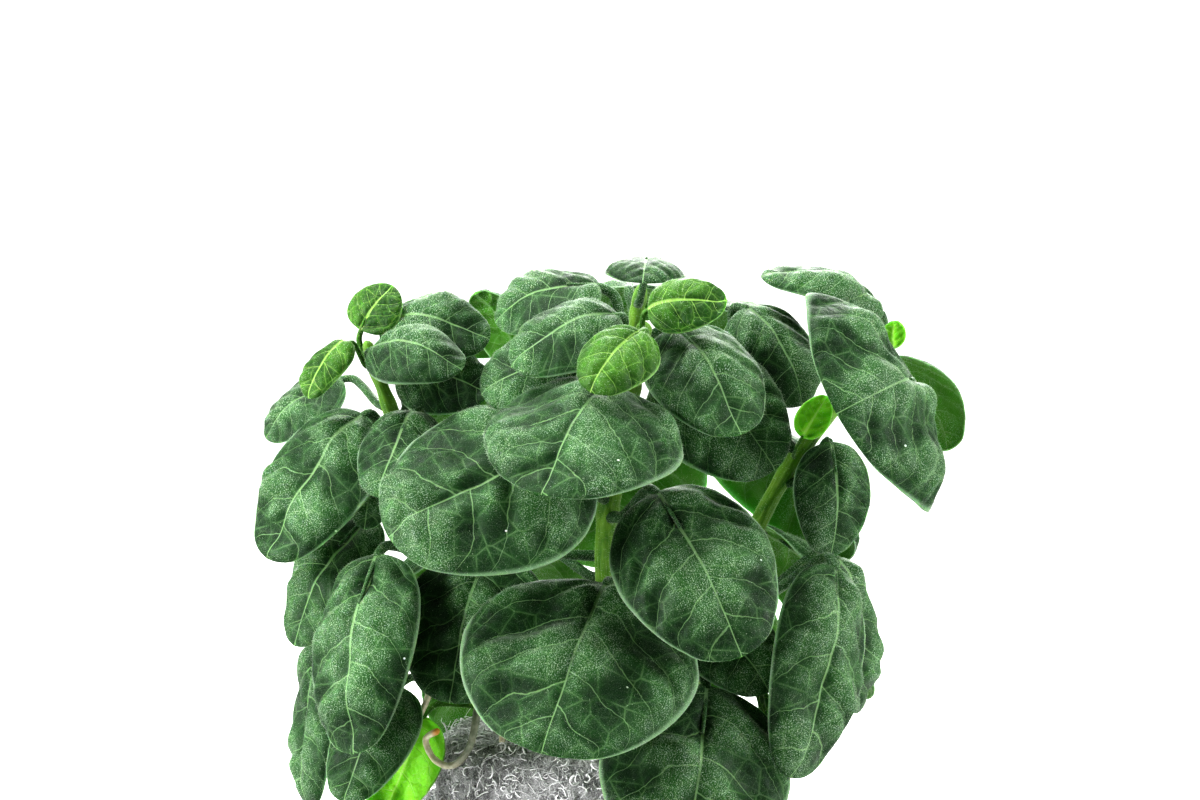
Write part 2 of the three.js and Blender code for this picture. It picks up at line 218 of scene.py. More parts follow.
# %% Make a piece from points and faces
def make_piece(name, points, faces, finish, maps=None, stands_for=()):
    """A smooth mesh piece. points are in mm, faces is a list of index arrays, maps has UVs to match."""
    mesh = bpy.data.meshes.new(name)
    mesh.vertices.add(len(points))
    mesh.vertices.foreach_set("co", (np.asarray(points, np.float32) * MM).ravel())
    corners = np.concatenate([f.ravel() for f in faces])
    sizes = np.concatenate([np.full(len(f), f.shape[1]) for f in faces])
    mesh.loops.add(len(corners))
    mesh.loops.foreach_set("vertex_index", corners.astype(np.int32))
    mesh.polygons.add(len(sizes))
    starts = np.concatenate([[0], np.cumsum(sizes)[:-1]])
    mesh.polygons.foreach_set("loop_start", starts.astype(np.int32))
    mesh.update(calc_edges=True)
    mesh.polygons.foreach_set("use_smooth", np.ones(len(sizes), bool))
    for label, parts in (maps or {}).items():
        layer = mesh.uv_layers.new(name=label)
        layer.data.foreach_set("uv", np.concatenate([p.ravel() for p in parts]).astype(np.float32))
    mesh.materials.append(finish)
    mesh.validate()
    piece = bpy.data.objects.new(name, mesh)
    bpy.context.scene.collection.objects.link(piece)
    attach(piece, "root")
    if stands_for:
        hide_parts(*stands_for)
    return piece


# %% Lay the faces of a closed tube of rings
def closed_skin(rings, start, end, edges):
    """Points, faces and maps of a tube of rings (rows, columns, 3) that closes on the points start and end.
    edges holds maps of shape (rows + 2, columns, 2, 2): a UV for each row, strip and side of the strip."""
    rows, columns = rings.shape[:2]
    points = np.concatenate([rings.reshape(-1, 3), [start], [end]])
    r, c = np.meshgrid(np.arange(rows - 1), np.arange(columns), indexing="ij")
    r, c = r.ravel(), c.ravel()
    right = (c + 1) % columns
    here, beyond = r * columns, (r + 1) * columns
    quads = np.stack([here + c, here + right, beyond + right, beyond + c], 1)
    k = np.arange(columns)
    after = (k + 1) % columns
    last = (rows - 1) * columns
    near_fan = np.stack([np.full(columns, rows * columns), after, k], 1)
    far_fan = np.stack([np.full(columns, rows * columns + 1), last + k, last + after], 1)
    maps = {}
    for label, m in edges.items():
        maps[label] = [
            np.stack([m[r + 1, c, 0], m[r + 1, c, 1], m[r + 2, c, 1], m[r + 2, c, 0]], 1),
            np.stack([m[0].mean(1), m[1, :, 1], m[1, :, 0]], 1),
            np.stack([m[-1].mean(1), m[-2, :, 0], m[-2, :, 1]], 1),
        ]
    faces = [quads, near_fan, far_fan]
    triangles = np.concatenate([quads[:, :3], quads[:, [0, 2, 3]], near_fan, far_fan])
    a, b, d = (points[triangles[:, k]] for k in range(3))
    outward = np.einsum("ij,ij->i", a, np.cross(b, d)).sum()
    if outward < 0:
        faces = [f[:, ::-1] for f in faces]
        maps = {label: [p[:, ::-1] for p in parts] for label, parts in maps.items()}
    return points, faces, maps

# %% [markdown]
# ## The shape of a leaf blade
# The model's blade is a coarse loft: five lines run along its upper side, from the stalk to the tip,
# through seven rings. Smooth curves through those rings, and a smooth curve across the five lines,
# give a fine grid that keeps the model's size, arch and rolled margins. Distances measured on that
# grid, along the midrib and across from it, are what the veins are drawn with.

# %% Smooth curves along and across a blade
ACROSS = np.array([-1.0, -0.55, 0.0, 0.55, 1.0])  # where the five lines lie, margin to margin


def spline(knots, t):
    """Catmull-Rom through knots of shape (..., n, d), whose first and last only guide the ends."""
    i = np.minimum(t.astype(int), knots.shape[-2] - 4)
    f = (t - i)[:, None]
    p0, p1, p2, p3 = (knots[..., i + k, :] for k in range(4))
    return 0.5 * (
        2 * p1 + (p2 - p0) * f + (2 * p0 - 5 * p1 + 4 * p2 - p3) * f**2 + (3 * p1 - p0 - 3 * p2 + p3) * f**3
    )


def across_weights(u):
    """How much each of the five lines counts at u, for a smooth curve through all of them."""
    weights = np.ones((len(u), 5))
    for j in range(5):
        for k in range(5):
            if k != j:
                weights[:, j] *= (u - ACROSS[k]) / (ACROSS[j] - ACROSS[k])
    return weights


def blade_grid(rings, tip, rows, u):
    """Points of the blade's upper side, (rows + 1, len(u), 3) in mm, from the stalk to the tip."""
    lines = np.zeros((5, 9, 3))
    lines[:, 0], lines[:, 8] = rings[5].mean(0), tip
    lines[:, 1:8] = np.swapaxes(rings[6:13, :5], 0, 1)
    guided = np.concatenate([lines[::-1, 1:2], lines, lines[::-1, 7:8]], axis=1)
    along = spline(guided, np.linspace(0, 8, rows + 1))
    return np.einsum("cj,jrx->rcx", across_weights(u), along)


test_grid = blade_grid(*lofts["front_leaf_03"], 8, ACROSS)
print("a blade of", np.round(np.ptp(test_grid.reshape(-1, 3), axis=0), 1), "mm")

# %% [markdown]
# ## Where the veins run
# One midrib runs from stalk to tip. Side veins leave it at regular distances, lean towards the tip
# and bend further forward near the margin, where each one runs up to the next. If every point of the
# blade is moved back along such a vein to the midrib, the distance along the midrib, counted in side
# vein spacings, is the same all along one vein. That number is the vein count, and a side vein lies
# wherever it is whole. The same number shapes the mesh and, stored as a surface coordinate, colours it.

# %% Vein count of every point of a blade
def ripples(x, y, wavelength, random):
    """A smooth wavy number between about -1 and 1, from a few waves in different directions."""
    total = 0.0
    for turn in random.uniform(0, 2 * math.pi, 5):
        wave = 2 * math.pi / (wavelength * random.uniform(0.75, 1.4))
        total = total + np.sin(wave * (x * math.cos(turn) + y * math.sin(turn)) + random.uniform(0, 7))
    return total / 2.6


def vein_count(along, across, u, half_width, spacing, shift, random_seed):
    """Side veins passed on the way from the stalk. shift moves the veins of one half."""
    random = np.random.default_rng(random_seed)
    lean = half_width * (0.52 * np.abs(u) + 0.34 * np.abs(u) ** 5)
    return (along - lean) / spacing + shift + 0.10 * ripples(along, across, 9.0, random)


# %% [markdown]
# ## Relief of a leaf
# A living leaf of this kind is quilted. It grows faster between its veins than along them, so the
# veins lie in narrow valleys and the tissue swells up between them. The midrib has the deepest
# valley. Under the leaf the veins stand out as ridges. The relief is put into the mesh itself, so it
# catches light from every side and shows in the outline.

# %% Relief of the upper side
def bell(x, width):
    return np.exp(-((x / width) ** 2))


def leaf_relief(along, across, u, share, count, size, plump, seed):
    """Height in mm above the smooth blade. plump says how strongly the tissue swells."""
    random = np.random.default_rng(seed)
    to_vein = np.abs(count - np.round(count)) * size
    real = np.clip((count + 0.45) * 8, 0, 1)
    inside = 1 - np.abs(u) ** 6
    off_midrib = 1 - bell(across, 0.22 * size)
    uneven = 1 + 0.75 * ripples(along, across, 14.0, random)
    swell = np.sin(math.pi * np.clip(count, -0.5, None)) ** 2
    height = plump * (0.46 * swell * off_midrib * uneven - 0.20) * inside
    height -= plump * 0.20 * bell(to_vein, 0.10 * size) * inside * off_midrib * real
    height -= 0.40 * plump * bell(across, 0.09 * size) * (1 - 0.7 * share)
    height += plump * 0.55 * bell(np.abs(across) - 0.5 * size, 0.42 * size) * (1 - share) ** 0.7 * inside
    height += plump * 0.80 * ripples(along, across, 15.0, random) * inside
    height += plump * 0.12 * ripples(along, across, 6.0, random) * inside
    height += 0.04 * plump * ripples(along, across, 2.6, random)
    height += 0.09 * plump * ripples(along, across, 8.0, random) * np.abs(u) ** 3
    height -= 0.55 * plump * np.clip((np.abs(u) - 0.72) / 0.28, 0, 1) ** 2
    return height


# %% Build one leaf skin
YOUNG = {n for n in leaf_names if frame["nodes"][n].data.materials[0].name.startswith("young")}
GRAIN = 0.62  # spacing of the leaf mesh in mm, finer on leaves shorter than SMALL_LEAF
SMALL_LEAF = 18.0
LEAF_THICKNESS = 0.42
UNDERSIDE = 10.0  # added to u in the map "place" on the underside, so that a finish can tell the sides apart


def unit(v):
    return v / np.maximum(np.linalg.norm(v, axis=-1, keepdims=True), 1e-9)


def fine_blade(node):
    """The fine grid of a blade, and u from -1 to 1 of its columns, which lie closer near the margins."""
    rings, tip = lofts[node]
    length = np.linalg.norm(np.diff(blade_grid(rings, tip, 24, np.zeros(1))[:, 0], axis=0), axis=1).sum()
    width = np.linalg.norm(rings[9, 0] - rings[9, 4])
    grain = GRAIN if length > SMALL_LEAF else 0.7 * GRAIN
    half = int(max(9, 0.62 * width / grain))
    u = np.sin(np.linspace(-1, 1, 2 * half + 1) * 1.25) / math.sin(1.25)
    return blade_grid(rings, tip, int(max(22, length / grain)), u), u


def measure_blade(grid, half):
    """Distance run along the midrib and across from it, in mm, at every point of the grid."""
    steps = np.linalg.norm(np.diff(grid[:, half], axis=0), axis=1)
    along = np.repeat(np.concatenate([[0], np.cumsum(steps)])[:, None], grid.shape[1], 1)
    gaps = np.linalg.norm(np.diff(grid, axis=1), axis=2)
    across = np.concatenate([np.zeros((len(grid), 1)), np.cumsum(gaps, axis=1)], axis=1)
    return along, across - across[:, half : half + 1]


def facing_up(grid, half):
    """The direction that the upper side faces at every point of the grid."""
    ahead = np.gradient(grid, axis=0)
    ahead[0], ahead[-1] = ahead[1], ahead[-2]
    up = unit(np.cross(np.gradient(grid, axis=1), ahead))
    up[0], up[-1] = up[1, half], up[-2, half]
    return up


def grow_blade(node):
    """Rings of a closed leaf skin with its maps, and what is needed to set hairs on it."""
    seed = sum(ord(letter) * (k + 3) for k, letter in enumerate(node))
    grid, u = fine_blade(node)
    rows, half = len(grid) - 1, len(u) // 2
    along, across = measure_blade(grid, half)
    half_width = np.where(u < 0, -across[:, :1], across[:, -1:])
    share = along / along[-1, 0]
    uu = np.repeat(u[None, :], rows + 1, 0)

    veins = 4.0 if node in YOUNG else 5.0
    spacing = along[-1, 0] / veins
    counts = [vein_count(along, across, uu, half_width, spacing, shift, seed) for shift in (0.12, -0.18)]
    count = np.where(uu < 0, counts[0], counts[1])
    count[:, half] = 0.5 * (counts[0] + counts[1])[:, half]

    size = min(spacing, 7.0)
    plump = 0.20 * size if node in YOUNG else 0.19 * size
    relief = leaf_relief(along, across, uu, share, count, size, plump, seed + 1)
    ends = np.clip(np.minimum(share, 1 - share) * 9, 0, 1)
    relief *= ends

    up = facing_up(grid, half)
    to_margin = np.sqrt(np.clip(1 - np.abs(uu) ** 8, 0, 1))
    body = to_margin * LEAF_THICKNESS * (0.75 + 0.25 * ends)
    to_vein = np.abs(count - np.round(count)) * spacing
    ridge = 0.42 * bell(across, 0.6) * (1 - 0.8 * share) + 0.13 * bell(to_vein, 0.35) * (1 - np.abs(uu) ** 4)
    top = grid + up * (relief - 0.05)[..., None]
    bottom = grid + up * (relief - 0.05 - body - ridge * to_margin)[..., None]

    loop = np.concatenate([top, bottom[:, -2:0:-1]], axis=1)
    n = len(u)
    order = np.concatenate([np.arange(n), np.arange(n - 2, 0, -1)])
    left_edge, right_edge = order, np.roll(order, -1)
    on_top = np.arange(2 * n - 2) < n - 1
    left_half = u[np.minimum(left_edge, right_edge)] < -1e-6

    def strips(first, second):
        return np.stack([np.stack([first[:, e], second[:, e]], -1) for e in (left_edge, right_edge)], 2)

    place = strips(uu, share)
    place[..., 0] += np.where(on_top, 0.0, UNDERSIDE)[None, :, None]
    maps = {
        "flat": strips(along, across),
        "veins": np.where(left_half[None, :, None, None], strips(across, counts[0]), strips(across, counts[1])),
        "place": place,
        "raised": strips(np.clip(relief / plump, -2, 2), uu),
    }
    return loop[1:-1], grid[0, half], grid[-1, half], maps, up, grid


loop, start, end, maps, up, grid = grow_blade("front_leaf_03")
print("leaf skin rings", loop.shape, "maps", {k: v.shape for k, v in maps.items()})

# %% [markdown]
# ## Small helpers for finishes
# A finish is a network of nodes. The output of a node is wrapped in a small class, so that sums on it
# are written as plain arithmetic, and each sum adds its node. The other helpers add one node each:
# fade between two limits, blend two colours, make clouds or cells. So the cells below read like
# short sentences.

# %% A value in a finish
class Value:
    """The output of a node. Arithmetic on it adds the node that does the sum."""

    def __init__(self, socket):
        self.socket, self.tree = socket, socket.id_data

    def __add__(self, other):
        return sums("ADD", self, other)

    def __radd__(self, other):
        return sums("ADD", other, self)

    def __sub__(self, other):
        return sums("SUBTRACT", self, other)

    def __rsub__(self, other):
        return sums("SUBTRACT", other, self)

    def __mul__(self, other):
        return sums("MULTIPLY", self, other)

    def __truediv__(self, other):
        return sums("DIVIDE", self, other)

    def __rtruediv__(self, other):
        return sums("DIVIDE", other, self)

    def __gt__(self, other):
        return sums("GREATER_THAN", self, other)

    def __lt__(self, other):
        return sums("LESS_THAN", self, other)

    def __abs__(self):
        return sums("ABSOLUTE", self)


def add_node(kind, *values):
    """A new node of this kind in the network that the first wrapped value belongs to."""
    return next(v.tree for v in values if isinstance(v, Value)).nodes.new("ShaderNode" + kind)


def feed(value, socket):
    """Links a value to socket, or sets socket to it if it is a plain number or colour."""
    if isinstance(value, Value):
        value.tree.links.new(value.socket, socket)
    else:
        socket.default_value = value


def sums(kind, *values):
    node = add_node("Math", *values)
    node.operation = kind
    for value, socket in zip(values, node.inputs):
        feed(value, socket)
    return Value(node.outputs[0])


# %% Helpers that add one node
def fade(value, low, high, at_low=0.0, at_high=1.0):
    """A soft step from at_low to at_high as value goes from low to high."""
    node = add_node("MapRange", value)
    node.interpolation_type = "SMOOTHSTEP"
    labels = ("Value", "From Min", "From Max", "To Min", "To Max")
    for label, number in zip(labels, (value, low, high, at_low, at_high)):
        feed(number, node.inputs[label])
    return Value(node.outputs[0])


def blend(share, first, second):
    """Colour first, with as much of second as share says."""
    node = add_node("Mix", share, first, second)
    node.data_type = "RGBA"
    node.clamp_factor = True
    colours = [s for s in node.inputs if s.type == "RGBA"]
    feed(share, node.inputs[0])
    for colour, socket in zip((first, second), colours):
        feed(colour if isinstance(colour, Value) else (*colour, 1.0), socket)
    return Value(next(s for s in node.outputs if s.type == "RGBA"))


def clouds(vector, scale, detail=2.0, roughness=0.5):
    """Cloudy noise from 0 to 1 with scale features to a unit."""
    node = add_node("TexNoise", vector)
    feed(vector, node.inputs["Vector"])
    for label, number in zip(("Scale", "Detail", "Roughness"), (scale, detail, roughness)):
        feed(number, node.inputs[label])
    return Value(node.outputs[0])


def cells(vector, scale, feature="F1", flat=True):
    """A pattern of cells: the distance to the nearest seed or edge, and a random colour for each cell."""
    node = add_node("TexVoronoi", vector)
    node.feature = feature
    node.voronoi_dimensions = "2D" if flat else "3D"
    feed(vector, node.inputs["Vector"])
    feed(scale, node.inputs["Scale"])
    return {s.name: Value(s) for s in node.outputs if s.enabled}


def split(vector):
    node = add_node("SeparateXYZ", vector)
    feed(vector, node.inputs[0])
    return [Value(s) for s in node.outputs]


def combine(*values):
    node = add_node("CombineXYZ", *values)
    for value, socket in zip(values, node.inputs):
        feed(value, socket)
    return Value(node.outputs[0])


def surface_map(tree, label):
    node = tree.nodes.new("ShaderNodeUVMap")
    node.uv_map = label
    return Value(node.outputs[0])


def own_space(tree):
    """The place on the piece in metres, before the piece is put anywhere."""
    return Value(tree.nodes.new("ShaderNodeTexCoord").outputs["Object"])


def own_space_mm(tree):
    node = tree.nodes.new("ShaderNodeVectorMath")
    node.operation = "SCALE"
    feed(own_space(tree), node.inputs[0])
    node.inputs["Scale"].default_value = 1 / MM
    return Value(node.outputs[0])


# %% Helpers for groups and materials
def new_group(name, inputs, outputs):
    """An empty node group with named inputs (kind, starting value) and outputs (kind)."""
    group = bpy.data.node_groups.new(name, "ShaderNodeTree")
    for label, (kind, value) in inputs.items():
        socket = group.interface.new_socket(label, in_out="INPUT", socket_type="NodeSocket" + kind)
        if value is not None:
            socket.default_value = value
    for label, kind in outputs.items():
        group.interface.new_socket(label, in_out="OUTPUT", socket_type="NodeSocket" + kind)
    given = {s.name: Value(s) for s in group.nodes.new("NodeGroupInput").outputs if s.name}
    return group, given, group.nodes.new("NodeGroupOutput").inputs


def place_group(group, **values):
    """Puts a group in a finish and feeds its inputs, named with _ for a space."""
    node = add_node("Group", *values.values())
    node.node_tree = group
    for label, value in values.items():
        feed(value, node.inputs[label.replace("_", " ")])
    return {s.name: Value(s) for s in node.outputs}


def new_finish(name, **plain):
    """A material with one Principled shader, whose plain numbers are set on its own sockets."""
    finish = bpy.data.materials.new(name)
    finish.use_nodes = True
    shader = finish.node_tree.nodes["Principled BSDF"]
    for label, value in plain.items():
        shader.inputs[label.replace("_", " ")].default_value = value
    return finish, finish.node_tree, shader


def dress(shader, colour, roughness):
    feed(colour, shader.inputs["Base Color"])
    feed(roughness, shader.inputs["Roughness"])


def raise_bump(shader, height, distance_mm):
    node = add_node("Bump", height)
    node.inputs["Strength"].default_value = 1.0
    node.inputs["Distance"].default_value = distance_mm * MM
    feed(height, node.inputs["Height"])
    feed(Value(node.outputs[0]), shader.inputs["Normal"])


print("helpers ready")

# %% [markdown]
# ## The vein network, shared by old and young leaves
# The group reads the three surface coordinates of a leaf. It draws the midrib where the distance
# across is small, the side veins where the vein count is whole, and a net of finer veins with a cell
# pattern, because the real net also closes round little islands of tissue.

# %% Group: vein network
vein_network, given, result = new_group(
    "vein_network",
    {
        "Flat": ("Vector", None),
        "Veins": ("Vector", None),
        "Place": ("Vector", None),
        "Net cell": ("Float", 3.0),
    },
    {"Midrib": "Float", "Side veins": "Float", "Net": "Float", "Islands": "Float"},
)
across_mm, count_at, _ = split(given["Veins"])
u_at, share_at, _ = split(given["Place"])
u_at = abs(u_at - (u_at > UNDERSIDE / 2) * UNDERSIDE)
midrib_width = fade(share_at, 0.0, 1.0, 0.32, 0.1)
feed(fade(abs(across_mm) / midrib_width, 0.5, 1.3, 1.0, 0.0), result["Midrib"])
wander = (clouds(given["Flat"], 0.45) - 0.5) * 0.16
count_now = count_at + wander
to_line = abs(sums("FRACT", count_now + 20.5) - 0.5)
line_width = fade(u_at, 0.0, 0.95, 0.02, 0.009)
side = fade(to_line / line_width, 0.5, 1.5, 1.0, 0.0)
side = side * fade(count_now, -0.42, -0.3)
feed(side * fade(u_at, 0.9, 0.99, 1.0, 0.2), result["Side veins"])
net_scale = 1.0 / given["Net cell"]
coarse = cells(given["Flat"], net_scale, "DISTANCE_TO_EDGE")["Distance"]
fine = cells(given["Flat"], net_scale * 2.7, "DISTANCE_TO_EDGE")["Distance"]
coarse_line = fade(coarse, 0.012, 0.05, 1.0, 0.0)
fine_line = fade(fine, 0.01, 0.09, 0.4, 0.0)
patchy = fade(clouds(given["Flat"], 0.16), 0.38, 0.62, 0.25, 1.0)
feed(sums("MAXIMUM", coarse_line, fine_line) * patchy, result["Net"])
feed(fade(coarse, 0.0, 0.28) + fade(fine, 0.0, 0.35, 0.0, 0.45), result["Islands"])
print("group", vein_network.name, "with", len(vein_network.nodes), "nodes")

# %% [markdown]
# ## Mottling, down, flecks and glints
# Three more effects come back on several pieces. Mottling is the slow change of tone in anything that
# grows or is moulded. Down is the grain that a coat of short hairs gives a surface. Flecks are
# sparse dots: dried water, dust and small blemishes, and also painted glints on leaves and wool.

# %% Groups: mottling, down grain, flecks and glints
mottling, given, result = new_group(
    "mottling",
    {"Vector": ("Vector", None), "Size": ("Float", 5.0), "Contrast": ("Float", 1.0)},
    {"Tone": "Float"},
)
tone = clouds(given["Vector"], 1.0 / given["Size"], 4.0, 0.6)
tone = (tone - 0.5) * (given["Contrast"] * 2.2) + 0.5
feed(fade(tone, 0.0, 1.0), result["Tone"])

down_grain, given, result = new_group(
    "down_grain",
    {"Vector": ("Vector", None), "Hair size": ("Float", 0.25), "Cover": ("Float", 0.5)},
    {"Mask": "Float"},
)
grain_noise = clouds(given["Vector"], 1.0 / given["Hair size"], 2.0, 0.7)
patch = clouds(given["Vector"], 0.12 / given["Hair size"], 3.0, 0.6)
level = grain_noise + (patch - 0.5) * 0.18
limit = 0.86 - given["Cover"] * 0.5
feed(fade(level, limit - 0.09, limit + 0.09), result["Mask"])

flecks_and_glints, given, result = new_group(
    "flecks_and_glints",
    {"Vector": ("Vector", None), "Spacing": ("Float", 4.0), "Radius": ("Float", 0.05), "Share": ("Float", 0.3)},
    {"Mask": "Float"},
)
spread = cells(given["Vector"], 1.0 / given["Spacing"], flat=False)
chance, size_chance, _ = split(spread["Color"])
radius_now = given["Radius"] * (0.4 + size_chance)
dot = fade(spread["Distance"] / radius_now, 0.6, 1.2, 1.0, 0.0)
feed(dot * (chance < given["Share"]), result["Mask"])
print("groups:", [g.name for g in bpy.data.node_groups])

# %% [markdown]
# ## Leaf finish
# The upper side is deep green. Painted shade makes it darker and bluer in the hollows of the relief,
# painted light makes the swells paler, and it is paler towards the veins. The margin is paler too,
# partly for its denser hairs and partly as a painted rim light.
# The side below is a lighter yellow green. Light enters the thin blade and leaves it again a little
# further on, which subsurface scattering gives: seen against the light the blade glows. One maker
# function makes both leaf finishes, because a young leaf has the same anatomy in fresher colours.

# %% Leaf finishes
def leaf_finish(name, deep_green_and_shade, lit, below, vein, rim, net_cell, cover, scatter):
    finish, tree, shader = new_finish(
        name, IOR=1.4, Specular_IOR_Level=0.28, Subsurface_Weight=scatter, Subsurface_Scale=0.9 * MM,
        Subsurface_Radius=(0.35, 1.0, 0.12), Sheen_Weight=0.20, Sheen_Roughness=0.35,
        Sheen_Tint=(0.86, 0.95, 0.82, 1.0),
    )
    flat = surface_map(tree, "flat")
    place = surface_map(tree, "place")
    net = place_group(vein_network, Flat=flat, Veins=surface_map(tree, "veins"), Place=place, Net_cell=net_cell)
    tone = place_group(mottling, Vector=flat, Size=13.0, Contrast=1.0)["Tone"]
    fine_tone = place_group(mottling, Vector=flat, Size=1.6, Contrast=0.8)["Tone"]
    u_raw, _, _ = split(place)
    under = u_raw > UNDERSIDE / 2
    u = abs(u_raw - under * UNDERSIDE)
    raised, _, _ = split(surface_map(tree, "raised"))
    # ridge is the relief height, stirred by mottling: the next blend puts dark green into the hollows as
    # painted shade and lit green onto the swells as painted light.
    ridge = fade(raised + (tone - 0.5) * 0.8, -0.6, 0.8)
    colour = blend(tone * 0.3 + ridge * 0.65, deep_green_and_shade, lit)
    colour = blend(fine_tone * 0.25, colour, deep_green_and_shade)
    island = fade(net["Islands"], 0.0, 1.2, 0.22, 0.0)
    colour = blend(island, colour, lit)
    colour = blend(under, colour, below)
    colour = blend(net["Net"] * 0.26, colour, vein)
    colour = blend(net["Side veins"] * 0.58, colour, vein)
    colour = blend(net["Midrib"] * 0.75, colour, vein)
    # Painted rim light: the margin is blended paler, partly for its denser hairs and partly as light caught at
    # the edge.
    margin = fade(u, 0.93, 1.0, 0.0, 0.6)
    colour = blend(margin, colour, rim)
    hair = place_group(down_grain, Vector=flat, Hair_size=0.20, Cover=cover)["Mask"]
    # The pale down colour is strongest on the swells: partly the hairs' own colour, partly a painted highlight
    # where they catch the light.
    down_and_highlight = hair * fade(ridge, 0.2, 1.0, 0.07, 0.62)
    colour = blend(down_and_highlight, colour, (0.56, 0.68, 0.53))
    # White specks: painted glints of tiny water droplets.
    white = place_group(flecks_and_glints, Vector=flat, Spacing=4.5, Radius=0.035, Share=0.35)["Mask"]
    colour = blend(white * 0.8, colour, (0.72, 0.78, 0.72))
    brown = place_group(flecks_and_glints, Vector=flat, Spacing=11.0, Radius=0.045, Share=0.16)["Mask"]
    colour = blend(brown * 0.7, colour, (0.1, 0.055, 0.02))
    dress(shader, colour, fade(fine_tone, 0.0, 1.0, 0.46, 0.66))
    height = net["Islands"] * 0.45
    height = height - net["Side veins"] * 0.35
    height = height + hair * 0.22
    raise_bump(shader, height, 0.16)
    return finish


# The colours are: dark green, which is also the painted shade of the hollows; lit green, the painted light on
# the swells; the side below; veins; and the margin, paler partly as a painted rim light.
leaf_green = leaf_finish(
    "leaf_green", (0.001, 0.016, 0.002), (0.029, 0.104, 0.023), (0.075, 0.22, 0.022),
    (0.20, 0.34, 0.15), (0.30, 0.44, 0.28), 4.6, 0.52, 0.35,
)
young_green = leaf_finish(
    "young_green", (0.006, 0.040, 0.003), (0.060, 0.165, 0.016), (0.17, 0.46, 0.02),
    (0.30, 0.50, 0.12), (0.30, 0.48, 0.18), 2.6, 0.36, 0.45,
)
FINISH_OF = {n: young_green if n in YOUNG else leaf_green for n in leaf_names}
print("finishes:", leaf_green.name, young_green.name)

# %% [markdown]
# ## Leaf stalks
# A stalk is a soft round tube, a little thicker where it meets the stem, with a shallow channel on
# top. It follows the ring centres of the model from just inside the stem, passes under the blade and
# thins out into the midrib, so no joint shows.

# %% Smooth lines and tubes
def smooth_line(knots, spacing):
    """A smooth line through knots (n, d), in even steps, and the distance run at each step."""
    knots = np.asarray(knots, float)
    guided = np.vstack([2 * knots[0] - knots[1], knots, 2 * knots[-1] - knots[-2]])
    fine = spline(guided, np.linspace(0, len(knots) - 1, 14 * (len(knots) - 1) + 1))
    run = np.concatenate([[0], np.cumsum(np.linalg.norm(np.diff(fine[:, :3], axis=0), axis=1))])
    even = np.linspace(0, run[-1], max(6, int(run[-1] / spacing) + 1))
    return np.stack([np.interp(even, run, fine[:, k]) for k in range(fine.shape[1])], 1), even


def tube(line, radius, sides, top_hint=(0.0, 0.0, 1.0)):
    """Rings round a line. radius is (steps, sides) or (steps, 1) in mm, and ring point 0 faces top_hint."""
    ahead = unit(np.gradient(line[:, :3], axis=0))
    up = np.array(top_hint) - ahead[0] * np.dot(top_hint, ahead[0])
    ups = []
    for direction in ahead:
        up = up - direction * np.dot(up, direction)
        up = up / np.linalg.norm(up)
        ups.append(up)
    ups = np.array(ups)
    across = np.cross(ahead, ups)
    turn = np.linspace(0, 2 * math.pi, sides, endpoint=False)
    out = ups[:, None] * np.cos(turn)[None, :, None] + across[:, None] * np.sin(turn)[None, :, None]
    return line[:, None, :3] + out * np.broadcast_to(radius, (len(line), sides))[..., None]


def tube_maps(run, sides, girth, kind=0.0):
    """Maps of a tube: mm round and along it, and how far along it is from 0 to 1, beside a kind number."""
    run = np.concatenate([[run[0]], run, [run[-1]]])
    rounds = np.linspace(0, girth, sides + 1)
    flat = np.stack(np.broadcast_arrays(rounds[None, :], run[:, None]), -1)
    place = np.stack(np.broadcast_arrays(np.full((1, sides + 1), kind), (run / run[-1])[:, None]), -1)
    return {k: np.stack([m[:, :-1], m[:, 1:]], 2) for k, m in (("flat", flat), ("place", place))}


def grow_stalk(node, blade, up):
    """Rings of the stalk of a leaf, from inside its stem to a third of the way along the midrib."""
    rings, _ = lofts[node]
    centres, radii = spine(rings[:6])
    middle = blade.shape[1] // 2
    into = []
    for fraction, thin in ((0.10, 0.72), (0.22, 0.5), (0.36, 0.3)):
        row = int(fraction * (len(blade) - 1))
        radius = radii[-1] * thin
        into.append([*(blade[row, middle] - up[row, middle] * (radius + 0.12)), radius])
    back = centres[0] - unit(centres[1] - centres[0]) * 0.9
    under = centres[5] - up[2, middle] * 0.35
    knots = [[*back, radii[0] * 1.15]]
    knots += [[*c, r] for c, r in zip(centres[:5], radii[:5] * (1.12, 1.0, 0.95, 0.95, 0.95))]
    knots += [[*under, radii[5] * 0.9], *into]
    line, run = smooth_line(knots, 0.55)
    turn = np.linspace(0, 2 * math.pi, 16, endpoint=False)
    radius = line[:, 3:4] * (1 - 0.16 * np.exp(-((1 - np.cos(turn)) / 0.25))[None, :])
    return tube(line, radius, 16, up[1, middle]), run, line


rings_now, run_now, _ = grow_stalk("front_leaf_03", grid, up)
print("a stalk of", len(rings_now), "rings,", round(float(run_now[-1]), 1), "mm long")

# %% [markdown]
# ## All leaves
# Each leaf becomes one piece: the blade skin and its stalk. Where the hairs will stand is noted on
# the way, as patches of the skin with a number that says how hairy each patch is.

# %% Grow every leaf
def join_skins(*skins):
    """Several closed skins as the points, faces and maps of one piece."""
    points, faces, maps, offset = [], [], {}, 0
    for skin_points, skin_faces, skin_maps in skins:
        points.append(skin_points)
        faces += [f + offset for f in skin_faces]
        for label, parts in skin_maps.items():
            maps.setdefault(label, []).extend(parts)
        offset += len(skin_points)
    return np.concatenate(points), faces, maps


hairy = {}  # group of hairs: list of (points, quads, hairiness of each quad, tipward direction)


def note_hairs(group, points, faces, hairiness, tipward):
    hairy.setdefault(group, []).append((points, faces, np.broadcast_to(hairiness, len(faces)), tipward))


